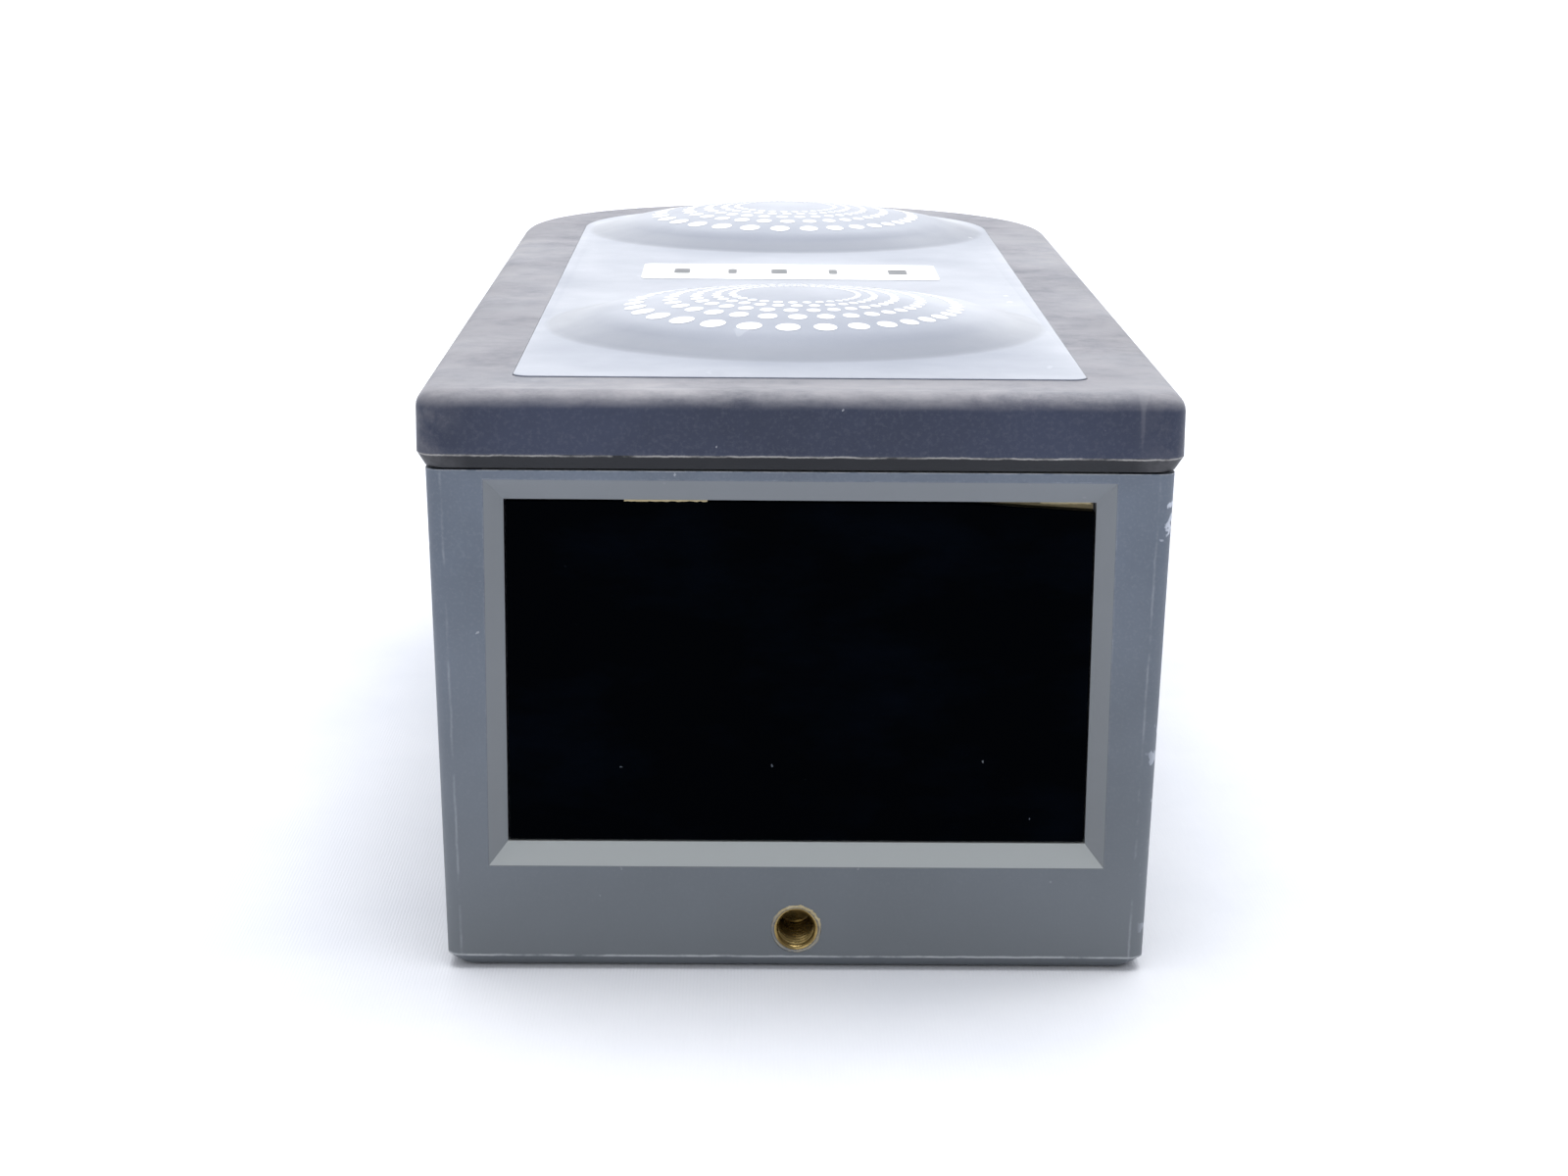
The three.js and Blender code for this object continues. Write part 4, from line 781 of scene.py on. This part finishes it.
lid = {
    "top": 131.2 * mm, "skirt": 16.9 * mm, "bevelUp": 3.2 * mm, "bevelIn": 1.7 * mm,
    "wall": 4.2 * mm, "roof": 3.5 * mm, "fillet": 4 * mm, "filletSteps": 7, "corner": 6 * mm,
    "edge": 0.35 * mm,
    "domeDrop": 1.2 * mm, "domeWall": 2.5 * mm, "domeOuter": 58.1, "domeInner": 54,
}
panel = {"inset": 19.5 * mm, "corner": 3.5 * mm, "thick": 0.9 * mm, "top": panelTop,
         "clearance": 0.15 * mm, "recess": 130.3 * mm, "join": 0.1 * mm, "under": 3 * mm,
         "domeInner": 58.5, "edge": 0.2 * mm}
dome = {"radius": 61, "crown": 48, "crownBase": 3.5, "height": 8, "ys": domeCentres,
        "rings": 12, "flare": 6, "around": 128}


def domeHeight(r):
    if r <= dome["crown"]:
        rise = dome["height"] - dome["crownBase"]
        return dome["crownBase"] + rise * (1 - (r / dome["crown"]) ** 2)
    run = dome["radius"] - dome["crown"]
    t = min((r - dome["crown"]) / run, 1)
    start, end = -0.38 * run, -0.3 * run
    fall = dome["crownBase"] * (2 * t ** 3 - 3 * t ** 2 + 1)
    return fall + start * (t ** 3 - 2 * t ** 2 + t) + end * (t ** 3 - t ** 2)


def domeTool(bm, y, lower, floor, radius):
    steps = dome["rings"]
    radii = [dome["crown"] * i / steps for i in range(steps + 1)]
    flare = dome["flare"]
    radii += [dome["crown"] + (radius - dome["crown"]) * i / flare for i in range(1, flare + 1)]
    skin = [(r * mm, panel["top"] + domeHeight(r) * mm - lower) for r in radii]
    profile = skin + [(radius * mm, floor), (0, floor)]
    addTurned(bm, profile, Matrix.Translation((0, y, 0)), dome["around"])


def makeLid():
    bm = bmesh.new()
    low = lid["top"] - lid["skirt"]
    base, level = startOutline(bm, lid["bevelIn"], lid["corner"] - lid["bevelIn"] / 2, low)
    start = dict(level)
    face = nextLevel(bm, base, level, low + lid["bevelUp"], 0)
    for i in range(lid["filletSteps"] + 1):
        angle = math.pi / 2 * i / lid["filletSteps"]
        inset = lid["fillet"] * (1 - math.cos(angle))
        face = nextLevel(bm, face, level, lid["top"] - lid["fillet"] * (1 - math.sin(angle)), inset)
    tidyNormals(bm)
    bm.normal_update()
    under = facing(bm, Vector((0, 0, -1)), Vector((0, 0, low)))
    face = nextLevel(bm, under, start, low, lid["wall"])
    nextLevel(bm, face, start, lid["top"] - lid["roof"], lid["wall"])
    tidyNormals(bm)
    obj = makeObject("lidCover", bm)
    bm = bmesh.new()
    inset = panel["inset"] - panel["clearance"]
    face, level = startOutline(bm, inset, panel["corner"], panel["recess"])
    nextLevel(bm, face, level, lid["top"] + 1 * mm, level["inset"])
    tidyNormals(bm)
    combine(obj, bm, "DIFFERENCE")
    bm = bmesh.new()
    for y in dome["ys"]:
        domeTool(bm, y, lid["domeDrop"], 128 * mm, lid["domeOuter"])
    combine(obj, bm, "UNION")
    bm = bmesh.new()
    for y in dome["ys"]:
        domeTool(bm, y, lid["domeDrop"] + lid["domeWall"], 127 * mm, lid["domeInner"])
    for side, y in screwPlaces:
        low, high = sorted((side * lidScrews["holeFrom"], side * lidScrews["holeTo"]))
        addRod(bm, "x", lidScrews["bore"], low, high, (0, y, lidScrews["z"]), 24)
    combine(obj, bm, "DIFFERENCE")
    bm = bmesh.new()
    for side, y in screwPlaces:
        ends = sorted((side * lidScrews["sinkFrom"], side * lidScrews["sinkTo"]))
        radii = (lidScrews["bore"], lidScrews["sink"])[::side]
        addRod(bm, "x", radii[0], *ends, (0, y, lidScrews["z"]), 32, radii[1])
    combine(obj, bm, "DIFFERENCE")
    roundEdges(obj, lid["edge"])
    return obj


settle(makeLid(), "housing", "lid", ["lid_shell"])


def makePanel():
    bm = bmesh.new()
    face, level = startOutline(bm, panel["inset"], panel["corner"], panel["top"] - panel["thick"])
    nextLevel(bm, face, level, panel["top"], panel["inset"])
    tidyNormals(bm)
    obj = makeObject("topPanelSheet", bm)
    bm = bmesh.new()
    for y in dome["ys"]:
        domeTool(bm, y, 0, panel["top"] - panel["thick"] + panel["join"], dome["radius"])
    combine(obj, bm, "UNION")
    bm = bmesh.new()
    for y in dome["ys"]:
        domeTool(bm, y, panel["thick"], panel["top"] - panel["under"], panel["domeInner"])
    combine(obj, bm, "DIFFERENCE")
    roundEdges(obj, panel["edge"])
    return obj


settle(makePanel(), "housing", "panel", ["top_panel"])
print("lid and panel made")

# five rings of dots: size and step grow from the least by the swell, towards the widest place
dots = {"radii": (39.5, 30.6, 24.3, 19.3, 15.4), "widest": 240, "sides": 18, "thick": 0.06 * mm,
        "size": 0.09, "sizeSwell": 0.065, "step": 6.2, "stepSwell": 7.5, "stagger": 3.4}
label = {"width": 82 * mm, "deep": 33.6 * mm, "y": 6 * mm, "corner": 2.2 * mm, "thick": 0.12 * mm}


def addDisc(bm, place, tilt, radius):
    lay = Matrix.Translation(place) @ tilt
    verts = bmesh.ops.create_circle(bm, cap_ends=True, radius=radius, segments=dots["sides"],
                                    matrix=lay)["verts"]
    faces = list({f for v in verts for f in v.link_faces})
    top = bmesh.ops.extrude_face_region(bm, geom=faces)["geom"]
    lift = (tilt.to_3x3() @ Vector((0, 0, 1))) * dots["thick"]
    bmesh.ops.translate(bm, vec=lift, verts=[g for g in top if isinstance(g, bmesh.types.BMVert)])


def makeDots(name, y):
    bm = bmesh.new()
    for ring, r in enumerate(dots["radii"]):
        angles = []
        angle = 0.0
        while angle < 360:
            swell = math.cos(math.radians(angle) / 2) ** 4
            angles.append((angle, r * (dots["size"] + dots["sizeSwell"] * swell) / 2))
            angle += dots["step"] + dots["stepSwell"] * swell
        spare = 360 / angle
        for turn, radius in angles:
            stagger = dots["stagger"] if ring % 2 else 0
            around = math.radians(dots["widest"] + turn * spare + stagger)
            slope = (domeHeight(r + 0.01) - domeHeight(r)) / 0.01
            place = Vector((r * math.cos(around) * mm, y + r * math.sin(around) * mm,
                            panel["top"] + domeHeight(r) * mm - 0.01 * mm))
            tilt = Matrix.Rotation(around, 4, "Z") @ Matrix.Rotation(-math.atan(slope), 4, "Y")
            addDisc(bm, place, tilt, radius * mm)
    tidyNormals(bm)
    obj = makeObject(name, bm)
    obj.data.set_sharp_from_angle(angle=math.radians(40))
    return settle(obj, "housing", "white_print")


makeDots("dotsNear", dome["ys"][0])
makeDots("dotsFar", dome["ys"][1])


def makeLabel():
    bm = bmesh.new()
    addBox(bm, (-label["width"] / 2, label["y"] - label["deep"] / 2, panel["top"] - 0.02 * mm),
           (label["width"] / 2, label["y"] + label["deep"] / 2, panel["top"] + label["thick"]),
           label["corner"], 2, 5)
    obj = makeObject("labelPatch", bm)
    roundEdges(obj, 0.04 * mm, 40, 1)
    return settle(obj, "housing", "white_print")


makeLabel()


# plain round-ended bars in the label: where each stands and its half width
marks = {"bars": ((-30, 2.2), (-16, 1.2), (-3, 2.2), (12, 1.2), (30, 2.6)), "half": 5 * mm,
         "corner": 1.1 * mm, "thick": 0.05 * mm, "sunk": 0.01 * mm}


def makeMarks():
    bm = bmesh.new()
    top = panel["top"] + label["thick"]
    for x, half in marks["bars"]:
        addBox(bm, ((x - half) * mm, label["y"] - marks["half"], top - marks["sunk"]),
               ((x + half) * mm, label["y"] + marks["half"], top + marks["thick"]),
               marks["corner"], 2, 4)
    return settle(makeObject("labelMarks", bm), "housing", "grey_plastic")


makeMarks()
print("print made")


def makePane():
    half = window["halfX"] - window["clearance"]
    low, high = window["low"] + window["clearance"], window["high"] - window["clearance"]
    bm = bmesh.new()
    corners = [(-half, low), (half, low), (half, high - window["drop"]),
               (half * window["dropFrom"], high), (-half, high)]
    verts = [bm.verts.new(onto @ Vector((x, window["bevelDeep"], z))) for x, z in corners]
    face = bmesh.ops.contextual_create(bm, geom=verts)["faces"][0]
    back = pullFace(bm, face)
    bmesh.ops.translate(bm, vec=inwards * window["glass"], verts=back.verts[:])
    tidyNormals(bm)
    obj = makeObject("windowGlass", bm)
    roundEdges(obj, 0.25 * mm, 30, 2)
    return settle(obj, "housing", "dark_glass", ["window_pane"])


makePane()


# adhesive that shows over the top edge of the glass: each run from x to x, how far in, how tall
bead = {"runs": ((-38, -20, 3.1, 4.2, 0.36), (52, 63, 4.6, 5.4, 0.7)), "below": 0.02 * mm,
        "cuts": 22, "ragged": (-0.22, 0.12)}


def makeBead():
    bm = bmesh.new()
    high = window["high"]
    for start, end, front, back, tall in bead["runs"]:
        addBox(bm, (start * mm, front * mm, high - tall * mm),
               (end * mm, back * mm, high - bead["below"]))
    long = [e for e in bm.edges if e.calc_length() > 5 * mm]
    bmesh.ops.subdivide_edges(bm, edges=long, cuts=bead["cuts"])
    for v in bm.verts:
        if v.co.z < high - 0.1 * mm:
            v.co.z += random.uniform(*bead["ragged"]) * mm
    bmesh.ops.transform(bm, matrix=onto, verts=bm.verts[:])
    tidyNormals(bm)
    obj = makeObject("sealantBead", bm)
    obj.data.shade_smooth()
    return settle(obj, "housing", "adhesive")


makeBead()

insert = {"outer": 5.3 * mm, "minor": 3.97 * mm, "major": 4.7 * mm, "pitch": 1.5875 * mm,
          "turns": 9, "deep": 15.5 * mm, "back": 2 * mm, "lead": 0.7 * mm,
          "chamfer": 0.15 * mm, "steps": 48}


def makeInsert():
    bm = bmesh.new()
    minor, major, pitch = insert["minor"], insert["major"], insert["pitch"]
    outer, far = insert["outer"], insert["deep"] + insert["back"]
    profile = [(0, far), (outer, far), (outer, insert["chamfer"]), (outer - insert["chamfer"], 0),
               (major + 0.1 * mm, 0), (minor, insert["lead"])]
    for turn in range(insert["turns"]):
        at = insert["lead"] + turn * pitch
        profile += [(minor, at + 0.12 * pitch), (major, at + 0.5 * pitch),
                    (major, at + 0.58 * pitch), (minor, at + 0.96 * pitch)]
    profile += [(minor, insert["deep"]), (0, insert["deep"])]
    addTurned(bm, profile, Matrix.Identity(4), insert["steps"])
    bmesh.ops.transform(bm, matrix=insertLay, verts=bm.verts[:])
    obj = makeObject("brassInsert", bm)
    roundEdges(obj, 0.05 * mm, 50, 1)
    return settle(obj, "housing", "brass", ["mount_insert"])


makeInsert()


# set adhesive squeezed out round the insert, as radius and depth
residue = {"profile": ((4.95, 0.1), (5.0, -0.1), (5.35, -0.16), (5.55, 0.05), (5.5, 0.6),
                       (5.35, 0.6), (4.95, 0.1)),
           "steps": 72, "lump": (-0.1, 0.16), "reach": 0.06, "ragged": (-0.2, 1), "front": 0.3 * mm}


def makeResidue():
    bm = bmesh.new()
    profile = [(r * mm, z * mm) for r, z in residue["profile"]]
    addTurned(bm, profile, Matrix.Identity(4), residue["steps"])
    for v in bm.verts:
        angle = math.atan2(v.co.y, v.co.x)
        side = 0.5 - 0.5 * math.sin(angle) + 0.35 * math.cos(angle)  # heavier above, to the right
        lump = random.uniform(*residue["lump"]) * side
        reach = 1 + residue["reach"] * max(side, 0) * random.uniform(*residue["ragged"])
        if v.co.z < residue["front"]:
            v.co.x *= reach
            v.co.y *= reach
            v.co.z -= max(lump, -0.06) * mm
    bmesh.ops.transform(bm, matrix=insertLay, verts=bm.verts[:])
    bmesh.ops.recalc_face_normals(bm, faces=bm.faces[:])
    obj = makeObject("insertResidue", bm)
    obj.data.shade_smooth()
    return settle(obj, "housing", "adhesive")


makeResidue()
print("window and insert made")


def nodeBodies():
    record = frame["record"]["behaviour"]["bodies"]
    return {node: body for body, members in record.items() for node in members}


bodyOf = nodeBodies()


def finerCopy(node, name, slotName, edge, angle=28, segments=2):
    bm = bmesh.new()
    bm.from_mesh(frame["nodes"][node].data)
    bmesh.ops.remove_doubles(bm, verts=bm.verts[:], dist=plan["join"])
    bmesh.ops.dissolve_limit(bm, angle_limit=math.radians(1), verts=bm.verts[:], edges=bm.edges[:])
    obj = makeObject(name, bm)
    roundEdges(obj, edge, angle, segments)
    return settle(obj, bodyOf[node], slotName, [node])


for side in ("left", "right"):
    for i in (1, 2, 3):
        finerCopy(f"lid_screw_{side}_{i}", f"lidScrew{side.title()}{i}", "steel", 0.08 * mm)
for i in (1, 2, 3, 4):
    finerCopy(f"foot_pad_{i}", f"footPad{i}", "rubber", 0.35 * mm)
    finerCopy(f"rear_screw_{i}", f"rearScrew{i}", "steel", 0.08 * mm)
finerCopy("rear_plate", "rearPlate", "black_metal", 0.3 * mm)
finerCopy("inlet_socket", "inletSocket", "black_plastic", 0.15 * mm)
finerCopy("rocker_bezel", "rockerBezel", "black_plastic", 0.25 * mm)
finerCopy("power_rocker", "powerRocker", "grey_plastic", 0.3 * mm)
finerCopy("vent_plug", "ventPlug", "grey_plastic", 0.15 * mm)

# the inner nodes keep their shapes and take a finish; a star stands for left and right
slotNodes = {
    "rubber": "lid_gasket rear_gasket",
    "adhesive": "window_seal",
    "steel": "inlet_nut",
    "aluminium": "chassis_plate sensor_bracket led_heatsink processor_heatsink battery_tray",
    "brass": "standoff_1 standoff_2 standoff_3 standoff_4",
    "black_metal": "lens_mount_* lens_barrel_* lens_cell_*",
    "black_plastic": "focus_ring_* light_baffle",
    "circuit": "camera_board_* led_board main_board power_board",
    "lens": "lens_glass_*",
    "cable": "ribbon_cable_* power_harness",
    "clear_plastic": "led_lens_strip",
    "cell": "battery_pack",
    "webbing": "battery_strap",
}
finished = set()
for slotName, names in slotNodes.items():
    for name in (n.replace("*", side) for n in names.split() for side in ("left", "right")):
        finished.add(name)
        for holder in frame["nodes"][name].material_slots:
            holder.material = finishes[slotName]
left = [n for n, o in frame["nodes"].items() if not o.hide_render and n not in finished]
print("nodes without a finish:", left)

# the room: floor cloth, sky and two lamps
studio = {
    "floor": 30.0, "cloth": "eaecf2", "clothShade": "e0e3eb", "weave": 420.0, "farFrom": 0.36,
    "farTo": 2.0, "farGlow": 0.75, "glow": (0.96, 0.97, 1.0, 1), "sky": 0.66, "backdrop": 1.05,
    "behind": 2.2, "skyColour": (0.97, 0.98, 1.0, 1),
}
lamps = {
    "keyAbove": {"place": (0.1, 0.15, 1.6), "target": (0, 0, 0.05), "size": 1.8, "energy": 34.0},
    "frontSoft": {"place": (-0.5, -1.6, 0.9), "target": (0, -0.1, 0.06), "size": 1.2,
                  "energy": 3.0},
}
view = {"lens": 69.54, "sensor": 36, "yaw": 0.702, "pitch": 12.922, "roll": -0.518,
        "place": (-11.2 * mm, -837.65 * mm, 234.6 * mm)}


def makeFloor():
    bm = bmesh.new()
    bmesh.ops.create_grid(bm, x_segments=1, y_segments=1, size=studio["floor"] / 2)
    obj = makeObject("floor", bm)
    material, tree, shader = startMaterial("floorCloth")
    weave = addNode(tree, "ShaderNodeTexWave", {"Vector": objectPlace(tree),
                                                "Scale": studio["weave"], "Distortion": 1.5})
    cloud = rescale(tree, noise(tree, 9.0, 4.0), 0.3, 0.7)
    cloth = paint(tree, cloud, hexColour(studio["cloth"]), hexColour(studio["clothShade"]))
    far = vectorMaths(tree, "LENGTH", objectPlace(tree), output="Value")
    glow = rescale(tree, far, studio["farFrom"], studio["farTo"], 0.0, studio["farGlow"])
    bump = addNode(tree, "ShaderNodeBump", {"Height": weave.outputs[0], "Strength": 0.15,
                                            "Distance": 0.2 * mm})
    setInputs(shader, {"Base Color": cloth, "Emission Strength": glow, "Roughness": 0.9,
                       "Emission Color": studio["glow"], "Specular IOR Level": 0.1,
                       "Normal": bump.outputs[0]})
    obj.data.materials.append(material)


def makeSky():
    world = bpy.data.worlds.new("softRoom")
    bpy.context.scene.world = world
    world.use_nodes = True
    tree = world.node_tree
    tree.nodes.clear()
    path = addNode(tree, "ShaderNodeLightPath").outputs
    direction = addNode(tree, "ShaderNodeTexCoord").outputs["Generated"]
    parts = addNode(tree, "ShaderNodeSeparateXYZ", {0: direction}).outputs
    ahead = rescale(tree, parts[1], -0.75, 0.3, 0.2, studio["sky"])
    more = rescale(tree, parts[1], 0.35, 0.95, 0.0, studio["behind"] - studio["sky"])
    glossy = maths(tree, "ADD", ahead, more)
    soft = addNode(tree, "ShaderNodeMix", {0: path["Is Glossy Ray"], 2: studio["sky"], 3: glossy})
    shown = addNode(tree, "ShaderNodeMix", {0: path["Is Camera Ray"], 2: soft.outputs[0],
                                            3: studio["backdrop"]})
    sky = addNode(tree, "ShaderNodeBackground", {"Color": studio["skyColour"],
                                                 "Strength": shown.outputs[0]})
    out = addNode(tree, "ShaderNodeOutputWorld")
    tree.links.new(sky.outputs[0], out.inputs[0])


def makeLamp(name, place, target, size, energy):
    light = bpy.data.lights.new(name, "AREA")
    light.size = size
    light.energy = energy
    obj = linkObject(name, light)
    obj.location = place
    obj.rotation_euler = (Vector(target) - Vector(place)).to_track_quat("-Z", "Y").to_euler()
    return obj


def makeCamera():
    data = bpy.data.cameras.new("camera")
    data.sensor_width = view["sensor"]
    data.lens = view["lens"]
    data.clip_start, data.clip_end = 0.05, 30
    yaw, pitch, roll = (math.radians(view[name]) for name in ("yaw", "pitch", "roll"))
    level = math.cos(pitch)
    forward = Vector((math.sin(yaw) * level, math.cos(yaw) * level, -math.sin(pitch)))
    right = Vector((math.cos(yaw), -math.sin(yaw), 0))
    down = forward.cross(right)
    turnedRight = math.cos(roll) * right + math.sin(roll) * down
    turnedDown = -math.sin(roll) * right + math.cos(roll) * down
    basis = Matrix((turnedRight, -turnedDown, -forward)).transposed()
    obj = linkObject("camera", data)
    obj.matrix_world = Matrix.Translation(view["place"]) @ basis.to_4x4()
    bpy.context.scene.camera = obj


makeFloor()
makeSky()
for name, lamp in lamps.items():
    makeLamp(name, **lamp)
makeCamera()
bpy.context.scene.view_settings.view_transform = "Standard"
print("stage made")
